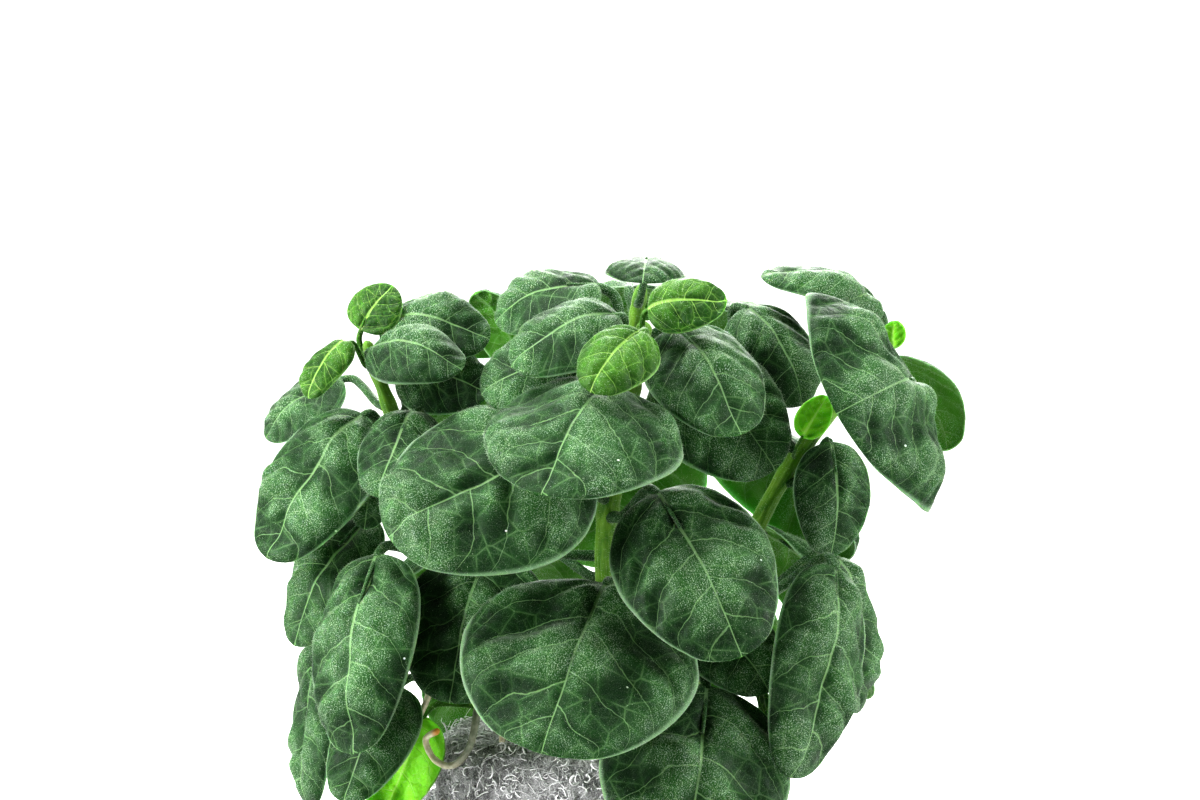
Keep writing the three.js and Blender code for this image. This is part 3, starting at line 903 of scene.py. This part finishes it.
triangles_made = 0
for node in leaf_names:
    loop, start, end, maps, up, grid = grow_blade(node)
    blade = closed_skin(loop, start, end, maps)
    stalk_rings, run, line = grow_stalk(node, grid, up)
    stalk_maps = tube_maps(run, 16, 5.0, 0.2)
    stalk_maps["veins"] = stalk_maps["flat"] * 0 + (9.0, 0.5)
    stalk_maps["raised"] = stalk_maps["flat"] * 0 + (0.4, 0.5)
    stalk = closed_skin(stalk_rings, line[0, :3], line[-1, :3], stalk_maps)
    points, faces, piece_maps = join_skins(blade, stalk)
    make_piece(node + "_skin", points, faces, FINISH_OF[node], piece_maps, (node,))
    quads = blade[1][0]
    u_of = blade[2]["place"][0][:, :, 0].mean(1)
    below = u_of > UNDERSIDE / 2
    on_margin = np.abs(np.where(below, u_of - UNDERSIDE, u_of)) > 0.96
    on_ridge = np.clip(0.70 + 1.5 * blade[2]["raised"][0][:, :, 0].mean(1), 0.12, 2.6)
    hairiness = np.where(below, 0.35, on_ridge) + 2.0 * on_margin
    tipward = unit(end - start)
    group = node.split("_")[0]
    note_hairs(group, blade[0], quads, hairiness, tipward)
    note_hairs(group, stalk[0], stalk[1][0], 0.8, tipward)
    triangles_made += 2 * len(quads) + 2 * len(stalk[1][0])
print(len(leaf_names), "leaves of", triangles_made, "triangles in all")

# %% [markdown]
# ## A check on the leaves
# A leaf that grew out of its place would show here: the new skins are compared with the model's box.

# %% Compare leaf skins with the model
bpy.context.view_layer.update()
worst = 0.0
for node in leaf_names:
    low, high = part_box(node)
    skin = np.array([v.co[:] for v in bpy.data.objects[node + "_skin"].data.vertices])
    worst = max(worst, float(np.max(np.maximum(np.array(low) - skin.min(0), skin.max(0) - np.array(high)))))
print("a leaf skin stands at most", round(worst / MM, 2), "mm outside its model leaf")

# %% [markdown]
# ## Stems
# The stems of this plant family are soft and slightly four-sided, with a swelling at every node,
# where leaf stalks leave in pairs. The tube follows the ring centres of the model. Its radius is
# widened where a stalk starts, and a gentle four-lobed section is added. Towards the plug the stem
# is darker and duller, and it is fresh yellow green further up.

# %% Grow the stems
def grow_stem(node):
    rings, tip = lofts[node]
    centres, radii = spine(rings)
    knots = np.concatenate([np.concatenate([centres, radii[:, None]], 1), [[*tip, radii[-1] * 0.5]]])
    line, run = smooth_line(knots, 0.5)
    group = node.split("_")[1]
    widening = np.zeros(len(line))
    for leaf in leaf_names:
        if leaf.startswith(group):
            stalk_start = lofts[leaf][0][0].mean(0)
            nearest = int(np.argmin(np.linalg.norm(line[:, :3] - stalk_start, axis=1)))
            widening = np.maximum(widening, bell(run - run[nearest], 1.8))
    sides = 28
    turn = np.linspace(0, 2 * math.pi, sides, endpoint=False)
    random = np.random.default_rng(len(node) + ord(group[0]))
    lobes = 1 + 0.07 * np.cos(4 * turn)[None, :] + 0.02 * np.cos(11 * turn + 2.0)[None, :]
    slow = 1 + 0.04 * ripples(run[:, None], turn[None, :] * 0, 9.0, random)
    radius = line[:, 3:4] * lobes * slow * (1 + 0.24 * widening[:, None])
    taper = np.clip((run[-1] - run) / 1.2, 0.15, 1.0)[:, None] ** 0.5
    rings_out = tube(line, radius * taper, sides, (0.0, -1.0, 0.0))
    points, faces, maps = closed_skin(rings_out, line[0, :3], line[-1, :3], tube_maps(run, sides, 12.0))
    return points, faces, maps, unit(line[-1, :3] - line[0, :3])


def stem_finish():
    finish, tree, shader = new_finish(
        "stem_green", IOR=1.4, Specular_IOR_Level=0.3, Subsurface_Weight=0.4, Subsurface_Scale=1.2 * MM,
        Subsurface_Radius=(0.5, 1.0, 0.2), Sheen_Weight=0.3, Sheen_Roughness=0.4,
        Sheen_Tint=(0.9, 0.95, 0.85, 1.0),
    )
    flat = surface_map(tree, "flat")
    round_mm, along_mm, _ = split(flat)
    _, share, _ = split(surface_map(tree, "place"))
    ribs = clouds(combine(round_mm, along_mm * 0.12), 1.8, 3.0)
    tone = place_group(mottling, Vector=flat, Size=4.0, Contrast=1.1)["Tone"]
    # Darker and duller towards the plug.
    towards_plug = fade(share, 0.1, 0.6, 1.0, 0.0)
    fresh = blend(tone, (0.05, 0.15, 0.012), (0.15, 0.29, 0.03))
    dull = blend(tone, (0.03, 0.075, 0.018), (0.1, 0.16, 0.04))
    colour = blend(towards_plug, fresh, dull)
    colour = blend(fade(ribs, 0.45, 0.62, 0.0, 0.4), colour, (0.22, 0.36, 0.09))
    hair = place_group(down_grain, Vector=flat, Hair_size=0.22, Cover=0.35)["Mask"]
    colour = blend(hair * 0.2, colour, (0.55, 0.62, 0.45))
    dress(shader, colour, fade(ribs, 0.3, 0.7, 0.42, 0.6))
    raise_bump(shader, ribs + hair * 0.2, 0.25)
    return finish


stem_green = stem_finish()
for node in stem_names:
    points, faces, maps, direction = grow_stem(node)
    make_piece(node + "_skin", points, faces, stem_green, maps, (node,))
    note_hairs(node.split("_")[1], points, faces[0], 0.9, direction)
print("stems:", len(stem_names))

# %% [markdown]
# ## Roots in the air
# Four young roots come out above the plug. A root is round and slightly lumpy, ivory where it is
# young, grey green where it has stood in the light, and its growing tip may be orange. A third number
# in the surface coordinates says which of them has the coloured tip.

# %% Grow the roots
def root_finish():
    finish, tree, shader = new_finish(
        "root_ivory", IOR=1.42, Specular_IOR_Level=0.45, Subsurface_Weight=0.35, Subsurface_Scale=0.8 * MM,
        Subsurface_Radius=(1.0, 0.8, 0.5),
    )
    flat = surface_map(tree, "flat")
    kind, share, _ = split(surface_map(tree, "place"))
    tone = place_group(mottling, Vector=flat, Size=1.6, Contrast=1.2)["Tone"]
    ivory = blend(tone, (0.5, 0.44, 0.3), (0.8, 0.76, 0.62))
    lit_part = blend(tone, (0.1, 0.125, 0.09), (0.22, 0.25, 0.18))
    curled = kind > 0.5
    greyed = fade(share, 0.55, 0.85, 0.9, 0.0) * (0.35 + curled * 0.65)
    colour = blend(greyed, ivory, lit_part)
    hot = fade(share, 0.95, 0.99) * curled
    colour = blend(hot, colour, (0.66, 0.33, 0.09))
    dress(shader, colour, fade(tone, 0.0, 1.0, 0.35, 0.55))
    raise_bump(shader, clouds(flat, 2.5, 3.0), 0.12)
    return finish


root_ivory = root_finish()
for number, node in enumerate(root_names):
    rings, tip = lofts[node]
    centres, radii = spine(rings)
    knots = np.concatenate([np.concatenate([centres, radii[:, None]], 1), [[*tip, radii[-1] * 0.6]]])
    line, run = smooth_line(knots, 0.22)
    random = np.random.default_rng(40 + number)
    turn = np.linspace(0, 2 * math.pi, 18, endpoint=False)
    down_it, round_it = np.meshgrid(run, 0.5 * np.sin(turn), indexing="ij")
    lumps = 1 + 0.07 * ripples(down_it, round_it, 2.2, random)
    tip_round = np.sqrt(np.clip((run[-1] - run) / 0.6, 0.05, 1.0))[:, None]
    skin = tube(line, line[:, 3:4] * lumps * tip_round * 1.05, 18, (0.3, 1.0, 0.2))
    kind = 1.0 if node == "root_curled" else 0.0
    points, faces, maps = closed_skin(skin, line[0, :3], line[-1, :3], tube_maps(run, 18, 3.2, kind))
    make_piece(node + "_skin", points, faces, root_ivory, maps, (node,))
print("roots:", root_names)

# %% [markdown]
# ## The plug of stone wool
# Stone wool is molten rock spun into fibres and matted into a block. Its skin is a felt of grey
# fibres with lighter loops and small glassy beads. Its top is painted nearly black green, partly for
# algae where light and water meet and partly as painted shade under the leaves. A lathe shape taken
# from the model's outline is roughened with noise at three scales. Loose fibres, curls and beads,
# which noise can't give, are separate small meshes that lie on it.

# %% Shape of the plug
def outline(node, keep):
    """Radius and height of the node's corners, as pairs in mm, where keep(radius, height) is true."""
    spots = np.array([v.co[:] for v in frame["nodes"][node].data.vertices]) / MM
    pairs = np.stack([np.hypot(spots[:, 0], spots[:, 1]), spots[:, 2]], 1)
    found, times = np.unique(np.round(pairs, 1), axis=0, return_counts=True)
    return [tuple(p) for p, n in zip(found, times) if n >= 100 and keep(*p)]


wool_outline = sorted(outline("stone_wool_plug", lambda r, z: r > 15), key=lambda p: (p[1], -p[0]))
print("plug outline, mm:", wool_outline)


def roughness_of_wool(spot):
    p = Vector(spot)
    rough = 0.55 * noise.noise(p * 0.22) + 0.34 * noise.noise(p * 0.7 + Vector((9, 0, 0)))
    return rough + 0.30 * abs(noise.noise(p * 1.9 + Vector((0, 7, 0))))


def lathe_rows(knots, spacing):
    """Evenly spaced (radius, height) rows along straight runs between knots, with their outward slope."""
    knots = np.array(knots, float)
    run = np.concatenate([[0], np.cumsum(np.linalg.norm(np.diff(knots, axis=0), axis=1))])
    even = np.linspace(0, run[-1], int(run[-1] / spacing) + 1)
    rows = np.stack([np.interp(even, run, knots[:, k]) for k in range(2)], 1)
    slope = np.gradient(rows, axis=0)
    return rows, unit(np.stack([slope[:, 1], -slope[:, 0]], 1)), even


def revolve(pairs, columns):
    """Rings of points from pairs of radius and height."""
    turns = np.linspace(0, 2 * math.pi, columns, endpoint=False)
    circle = np.stack([np.cos(turns), np.sin(turns)], 1)
    return np.stack([np.column_stack([circle * r, np.full(columns, z)]) for r, z in pairs])


wool_knots = [(0.3, wool_outline[0][1])] + wool_outline + [(0.3, wool_outline[-1][1])]
wool_rows, wool_out, wool_run = lathe_rows(wool_knots, 0.55)
WOOL_COLUMNS = 260
wool_skin = revolve(wool_rows, WOOL_COLUMNS)
wool_normal = revolve(wool_out, WOOL_COLUMNS)
IN_POT = 50.0  # below this height the plug is hidden in the pot and kept smoother
for ring, normal, (radius, height) in zip(wool_skin, wool_normal, wool_rows):
    free = min(1.0, radius / 3.0) * (1.0 if height > IN_POT else 0.35)
    push = np.array([roughness_of_wool(p) for p in ring]) * free - 0.12
    ring += normal * push[:, None]
rows_round = np.linspace(0, 170, WOOL_COLUMNS + 1)
run_padded = np.concatenate([[wool_run[0]], wool_run, [wool_run[-1]]])
wool_flat = np.stack(np.broadcast_arrays(rows_round[None, :], run_padded[:, None]), -1)
wool_maps = {"flat": np.stack([wool_flat[:, :-1], wool_flat[:, 1:]], 2)}
print("plug skin", wool_skin.shape, "stands up to", round(float(wool_skin[..., 2].max()), 1), "mm")

# %% [markdown]
# ## Wool finish
# The felt is a mix of light and dark threads, so its colour comes from stretched noise in several
# directions. The top is painted nearly black green by height and by patches, with a broken edge where
# it ends: partly algae and damp, and partly painted shade under the leaves.

# %% Finish and pieces of the plug
def wool_finish():
    finish, tree, shader = new_finish("stone_wool", Specular_IOR_Level=0.25, Sheen_Weight=0.2)
    spot = own_space_mm(tree)
    threads = None
    for turn, scale in ((0.4, 1.5), (2.0, 1.9), (1.1, 2.6)):
        aim = tree.nodes.new("ShaderNodeMapping")
        aim.inputs["Rotation"].default_value = (turn, turn * 1.7, turn * 0.6)
        aim.inputs["Scale"].default_value = (scale, scale * 0.16, scale)
        feed(spot, aim.inputs["Vector"])
        thread = fade(clouds(Value(aim.outputs[0]), 2.2, 3.0, 0.65), 0.5, 0.66)
        threads = thread if threads is None else sums("MAXIMUM", threads, thread)
    tone = place_group(mottling, Vector=spot, Size=2.2, Contrast=1.3)["Tone"]
    slow = place_group(mottling, Vector=spot, Size=9.0, Contrast=1.0)["Tone"]
    colour = blend(tone, (0.15, 0.15, 0.152), (0.58, 0.58, 0.58))
    colour = blend(threads * 0.85, colour, (0.84, 0.84, 0.84))
    glints = place_group(flecks_and_glints, Vector=spot, Spacing=1.0, Radius=0.24, Share=0.4)["Mask"]
    colour = blend(glints * 0.9, colour, (0.95, 0.95, 0.95))
    # Nearly black green on the top: partly algae and damp, partly painted shade under the leaves.
    _, _, height = split(spot)
    top = fade(height + slow * 2.6, 70.0, 71.4)
    moss_and_shade = blend(tone, (0.012, 0.022, 0.008), (0.045, 0.075, 0.022))
    colour = blend(top * 0.93, colour, moss_and_shade)
    dress(shader, colour, fade(threads, 0.0, 1.0, 0.85, 0.5))
    raise_bump(shader, threads + tone * 0.6, 0.35)
    return finish


stone_wool = wool_finish()
points, faces, maps = closed_skin(
    wool_skin, (0, 0, wool_skin[0, :, 2].mean()), (0, 0, wool_skin[-1, :, 2].mean()), wool_maps
)
make_piece("plug_skin", points, faces, stone_wool, maps, ("stone_wool_plug",))
print("plug faces:", sum(len(f) for f in faces))

# %% [markdown]
# ## Loose fibres, curls and glassy beads
# Each loose fibre is a thin three-sided tube along a line that bends at random and stays close to the
# felt. The curls are thicker white ones, which stand out from the dark felt. Each bead is a small drop
# of glass that the spinning left behind.

# %% Fibres, curls and beads
def wool_spots(number, random, lowest=55.0):
    """Random places on the plug's skin above lowest, with their normals."""
    rows = np.flatnonzero(wool_rows[:, 1] > lowest)
    weights = np.maximum(wool_rows[rows, 0], 0.5)
    i = random.choice(rows, number, p=weights / weights.sum())
    j = random.integers(0, WOOL_COLUMNS, number)
    return wool_skin[i, j], wool_normal[i, j]


def strand_uv(*corners):
    """The corners of every face of a mesh of strands in their map: a shade across, and 0 to 1 along."""
    return np.stack([np.stack(corner, -1) for corner in corners], 1)


def fibre_mesh(number, random, length, bend, radius, lift):
    """Bent strands. length, bend in radians, radius and lift above the felt are given as limits."""
    spots, normals = wool_spots(number, random)
    steps = 8
    around = unit(np.cross(normals, random.normal(size=(number, 3))))
    bend_axis = unit(normals + 0.5 * random.normal(size=(number, 3)))
    length = random.uniform(*length, number)
    bend = random.uniform(*bend, number) * random.choice((-1, 1), number)
    lines = np.zeros((number, steps, 3))
    direction, here = around, spots + normals * random.uniform(*lift, (number, 1))
    for k in range(steps):
        lines[:, k] = here
        angle = (bend / steps)[:, None]
        direction = direction * np.cos(angle) + np.cross(bend_axis, direction) * np.sin(angle)
        direction = unit(direction - normals * 0.05)
        here = here + direction * (length / steps)[:, None]
    lines += normals[:, None] * (0.45 * np.sin(np.linspace(0, math.pi, steps)))[None, :, None] * random.uniform(
        0, 1, (number, 1, 1)
    )
    radius = random.uniform(*radius, (number, 1, 1))
    ahead = unit(np.gradient(lines, axis=1))
    one = unit(np.cross(ahead, normals[:, None] + 0.01))
    two = np.cross(ahead, one)
    turn = np.linspace(0, 2 * math.pi, 3, endpoint=False)
    rings = lines[:, :, None] + radius[..., None] * (
        one[:, :, None] * np.cos(turn)[:, None] + two[:, :, None] * np.sin(turn)[:, None]
    )
    base = (np.arange(number) * steps * 3)[:, None, None]
    i, j = np.arange(steps - 1)[None, :, None] * 3, np.arange(3)[None, None, :]
    nxt = (j + 1) % 3
    quads = np.stack([base + i + j, base + i + nxt, base + i + 3 + nxt, base + i + 3 + j], -1).reshape(-1, 4)
    shade = np.repeat(random.uniform(0, 1, number), (steps - 1) * 3)
    along = np.tile(np.repeat(np.arange(steps - 1) / (steps - 1), 3), number)
    step_share = 1 / (steps - 1)
    left, right = 0.02 + 0.9 * shade, 0.08 + 0.9 * shade
    uv = strand_uv((left, along), (right, along), (right, along + step_share), (left, along + step_share))
    return rings.reshape(-1, 3), [quads], {"OFBake": [uv]}


def fibre_finish(name, low, high, tip, rough):
    """Shade by a random number across each strand's map, and paler towards its end."""
    finish, tree, shader = new_finish(name, Specular_IOR_Level=0.4)
    pick, along, _ = split(surface_map(tree, "OFBake"))
    colour = blend(pick, low, high)
    colour = blend(fade(along, 0.1, 1.0, 0.0, 0.8), colour, tip)
    dress(shader, colour, fade(pick, 0.0, 1.0, rough, rough + 0.2))
    return finish


wool_random = np.random.default_rng(71)
glass_fibre = fibre_finish("mineral_fibre", (0.45, 0.45, 0.45), (0.92, 0.92, 0.92), (0.96, 0.96, 0.96), 0.2)
points, faces, maps = fibre_mesh(3200, wool_random, (1.2, 4.6), (0.0, 4.5), (0.04, 0.085), (0.0, 0.35))
make_piece("wool_fibres", points, faces, glass_fibre, maps, ())
glassy_white = fibre_finish("glassy_white", (0.72, 0.72, 0.72), (0.97, 0.97, 0.97), (0.98, 0.98, 0.98), 0.12)
points, faces, maps = fibre_mesh(900, wool_random, (1.4, 3.8), (2.5, 5.5), (0.09, 0.20), (0.1, 0.5))
make_piece("wool_curls", points, faces, glassy_white, maps, ())

bead_shape = bmesh.new()
bmesh.ops.create_icosphere(bead_shape, subdivisions=2, radius=1.0)
bead_points = np.array([v.co[:] for v in bead_shape.verts])
bead_faces = np.array([[v.index for v in f.verts] for f in bead_shape.faces])
bead_shape.free()


def bead_mesh(number, random):
    spots, normals = wool_spots(number, random, 58.0)
    size = random.uniform(0.10, 0.34, (number, 1, 1))
    squash = 1 + 0.3 * random.normal(size=(number, 1, 3))
    points = spots[:, None] + normals[:, None] * size * 0.5 + bead_points[None] * size * squash
    faces = (bead_faces[None] + (np.arange(number) * len(bead_points))[:, None, None]).reshape(-1, 3)
    return points.reshape(-1, 3), [faces]


def bead_finish():
    finish, tree, shader = new_finish("glass_beads", Specular_IOR_Level=0.6, IOR=1.5, Coat_Weight=0.6)
    tone = place_group(mottling, Vector=own_space(tree), Size=0.9 * MM, Contrast=1.4)["Tone"]
    dress(shader, blend(tone, (0.3, 0.3, 0.31), (0.82, 0.83, 0.84)), fade(tone, 0.0, 1.0, 0.08, 0.3))
    return finish


points, faces = bead_mesh(700, wool_random)
make_piece("wool_beads", points, faces, bead_finish(), None, ())
print("fibres and beads on the plug")

# %% [markdown]
# ## The pot
# A young herb is sold in a thin moulded pot. Its wall tapers so that pots stack, the rim is a rolled
# band, and holes in the floor let water out. The outline is read from the model, its corners are
# rounded a little, as any moulded edge is, and it is turned round the axis in many more steps. The
# drain holes are cut with a boolean where the model has them.

# %% Pot outline with rounded edges
pot_pairs = outline("pot", lambda r, z: r > 18)
levels = sorted({p[1] for p in pot_pairs})  # underside, floor, foot of the rim band, top
foot = next(p for p in pot_pairs if p[1] == levels[0])
floor_edge = next(p for p in pot_pairs if p[1] == levels[1])
step = sorted(p for p in pot_pairs if p[1] == levels[-2])
rim = sorted(p for p in pot_pairs if p[1] == levels[-1])
pot_knots = [(0.4, 0.0), foot, step[0], step[1], rim[1], rim[0], floor_edge, (0.4, floor_edge[1])]
print("pot outline, mm:", pot_knots)


def rounded(knots, radius, steps=5):
    """The knots with every inner corner replaced by a short curve."""
    knots = [np.array(k, float) for k in knots]
    made = [knots[0]]
    for before, corner, after in zip(knots, knots[1:], knots[2:]):
        reach_in = min(radius, 0.45 * np.linalg.norm(before - corner))
        reach_out = min(radius, 0.45 * np.linalg.norm(after - corner))
        a = corner + unit(before - corner) * reach_in
        b = corner + unit(after - corner) * reach_out
        for f in np.linspace(0, 1, steps):
            made.append((1 - f) ** 2 * a + 2 * f * (1 - f) * corner + f**2 * b)
    made.append(knots[-1])
    return np.array(made)


def dense(knots, longest):
    """The same outline with no step longer than longest mm."""
    made = [knots[0]]
    for a, b in zip(knots, knots[1:]):
        pieces = max(1, int(np.ceil(np.linalg.norm(b - a) / longest)))
        made += [a + (b - a) * k / pieces for k in range(1, pieces + 1)]
    return np.array(made)


POT_COLUMNS = 144
pot_rows = dense(rounded(pot_knots, 0.7), 3.0)
pot_skin = revolve(pot_rows, POT_COLUMNS)


# %% Pot finish
def pot_finish():
    finish, tree, shader = new_finish("pot_plastic", Specular_IOR_Level=0.45, IOR=1.49)
    spot = own_space_mm(tree)
    x, y, z = split(spot)
    angle = sums("ARCTAN2", y, x)
    streaks = clouds(combine(sums("SINE", angle) * 14.0, sums("COSINE", angle) * 14.0, z * 0.05), 0.9, 3.0, 0.6)
    tone = place_group(mottling, Vector=spot, Size=12.0, Contrast=0.9)["Tone"]
    pores = clouds(spot, 3.2, 2.0)
    colour = blend(tone, (0.012, 0.012, 0.013), (0.028, 0.028, 0.03))
    colour = blend(fade(streaks, 0.52, 0.72, 0.0, 0.35), colour, (0.07, 0.07, 0.068))
    lime = place_group(flecks_and_glints, Vector=spot, Spacing=2.6, Radius=0.08, Share=0.25)["Mask"]
    dusty = fade(z + tone * 14.0, 58.0, 70.0, 0.15, 0.8)
    colour = blend(lime * dusty, colour, (0.3, 0.29, 0.27))
    dress(shader, colour, fade(pores + tone * 0.5, 0.4, 1.1, 0.36, 0.58))
    raise_bump(shader, pores + streaks * 0.6, 0.06)
    return finish


points, faces, _ = closed_skin(pot_skin, (0, 0, 0.0), (0, 0, floor_edge[1]), {})
pot = make_piece("pot_skin", points, faces, pot_finish(), None, ("pot",))

spots = np.array([v.co[:] for v in frame["nodes"]["pot"].data.vertices]) / MM
reach = np.hypot(spots[:, 0], spots[:, 1])
hole_corners = np.unique(np.round(spots[(spots[:, 2] < 0.01) & (reach > 5) & (reach < 18)], 2), axis=0)
cutter_shape = bmesh.new()
holes = 0
while len(hole_corners):
    mine = np.linalg.norm(hole_corners - hole_corners[0], axis=1) < 4.6
    middle = hole_corners[mine].mean(0)
    radius = np.linalg.norm(hole_corners[mine] - middle, axis=1).mean()
    made = bmesh.ops.create_cone(
        cutter_shape, cap_ends=True, segments=40, radius1=radius * MM, radius2=radius * MM, depth=12 * MM
    )
    bmesh.ops.translate(cutter_shape, verts=made["verts"], vec=Vector(middle) * MM)
    hole_corners, holes = hole_corners[~mine], holes + 1
cutter_mesh = bpy.data.meshes.new("hole_cutter")
cutter_shape.to_mesh(cutter_mesh)
cutter_shape.free()
cutter = bpy.data.objects.new("hole_cutter", cutter_mesh)
bpy.context.scene.collection.objects.link(cutter)
cut = pot.modifiers.new("drain_holes", "BOOLEAN")
cut.operation, cut.solver, cut.object = "DIFFERENCE", "EXACT", cutter
drilled = bpy.data.meshes.new_from_object(pot.evaluated_get(bpy.context.evaluated_depsgraph_get()))
pot.modifiers.clear()
pot.data = drilled
bpy.data.objects.remove(cutter)
print("drain holes:", holes, "pot faces:", len(drilled.polygons))

# %% [markdown]
# ## Down
# The whole plant is covered with short soft hairs, and they are what makes its green look frosted.
# They stand on both sides of the leaves, thickest along the margins. A hair is one narrow triangle,
# because it is far too thin to show any section, and so even a hundred thousand stay light. Each one
# leans a little towards the tip of its leaf and a little at random. Its map runs from root to end, so
# the finish can make the ends paler, and picks one of many shades across.

# %% Grow the hairs
def grow_down(name, patches, per_mm2, length, width, seed, finish):
    random = np.random.default_rng(seed)
    roots, outs, leans = [], [], []
    for points, quads, hairiness, tipward in patches:
        a, b, c, d = (points[quads[:, k]] for k in range(4))
        facing = np.cross(c - a, d - b) / 2
        area = np.linalg.norm(facing, axis=1)
        wanted = random.poisson(area * hairiness * per_mm2)
        q = np.repeat(np.arange(len(quads)), wanted)
        s, t = random.uniform(0, 1, (2, len(q), 1))
        roots.append((1 - s) * (1 - t) * a[q] + s * (1 - t) * b[q] + s * t * c[q] + (1 - s) * t * d[q])
        outs.append(unit(facing)[q])
        leans.append(np.broadcast_to(tipward, (len(q), 3)))
    root, out, lean = (np.concatenate(x) for x in (roots, outs, leans))
    n = len(root)
    direction = unit(out + 0.25 * lean + 0.34 * random.normal(size=(n, 3)))
    across = unit(np.cross(direction, random.normal(size=(n, 3))))
    tall = random.uniform(*length, (n, 1))
    wide = random.uniform(*width, (n, 1))
    points = np.stack([root - across * wide / 2, root + across * wide / 2, root + direction * tall], 1)
    pick = random.uniform(0.0, 0.9, n)
    uv = strand_uv((pick, pick * 0), (pick + 0.1, pick * 0), (pick + 0.05, pick * 0 + 1))
    faces = np.arange(3 * n).reshape(-1, 3)
    make_piece(name, points.reshape(-1, 3), [faces], finish, {"OFBake": [uv]}, ())
    return n


PER_MM2 = 4.2  # hairs on each square millimetre
LONG = (0.20, 0.48)  # shortest and longest hair in mm
WIDE = (0.026, 0.045)  # thinnest and thickest root of a hair in mm
down_pale = fibre_finish("pale_down", (0.30, 0.42, 0.26), (0.55, 0.66, 0.48), (0.74, 0.82, 0.68), 0.5)
total = 0
for number, (group, patches) in enumerate(sorted(hairy.items())):
    made = grow_down("down_" + group, patches, PER_MM2, LONG, WIDE, 300 + number, down_pale)
    print("hairs on the", group, "shoot:", made)
    total += made
print("hairs in all:", total)

# %% [markdown]
# ## Floor and backdrop
# A plain white sheet lies under the pot and curves up behind it, as in a light tent, so there is no
# line where the floor ends.

# %% Stage
def stage_finish():
    finish, tree, shader = new_finish("white_sheet", Specular_IOR_Level=0.1)
    tone = place_group(mottling, Vector=own_space(tree), Size=0.4, Contrast=0.3)["Tone"]
    feed(blend(tone, (0.56, 0.56, 0.56), (0.6, 0.6, 0.6)), shader.inputs["Base Color"])
    shader.inputs["Roughness"].default_value = 0.9
    shader.inputs["Emission Color"].default_value = (1.0, 1.0, 1.0, 1.0)
    seen = Value(tree.nodes.new("ShaderNodeLightPath").outputs["Is Camera Ray"])
    feed(seen * 0.9, shader.inputs["Emission Strength"])
    return finish


bend = [(-2.2, 0.0)] + [
    (1.6 + 0.8 * math.sin(a), 0.8 - 0.8 * math.cos(a)) for a in np.linspace(0, math.pi / 2, 16)
] + [(2.4, 2.6)]
sheet_points = [(x, y, z) for y, z in bend for x in (-2.6, 2.6)]
sheet_mesh = bpy.data.meshes.new("white_sheet")
sheet_mesh.from_pydata(
    sheet_points, [], [(2 * k, 2 * k + 1, 2 * k + 3, 2 * k + 2) for k in range(len(bend) - 1)]
)
sheet_mesh.polygons.foreach_set("use_smooth", [True] * len(sheet_mesh.polygons))
sheet_mesh.materials.append(stage_finish())
white_sheet = bpy.data.objects.new("white_sheet", sheet_mesh)
bpy.context.scene.collection.objects.link(white_sheet)
print("stage:", white_sheet.name)
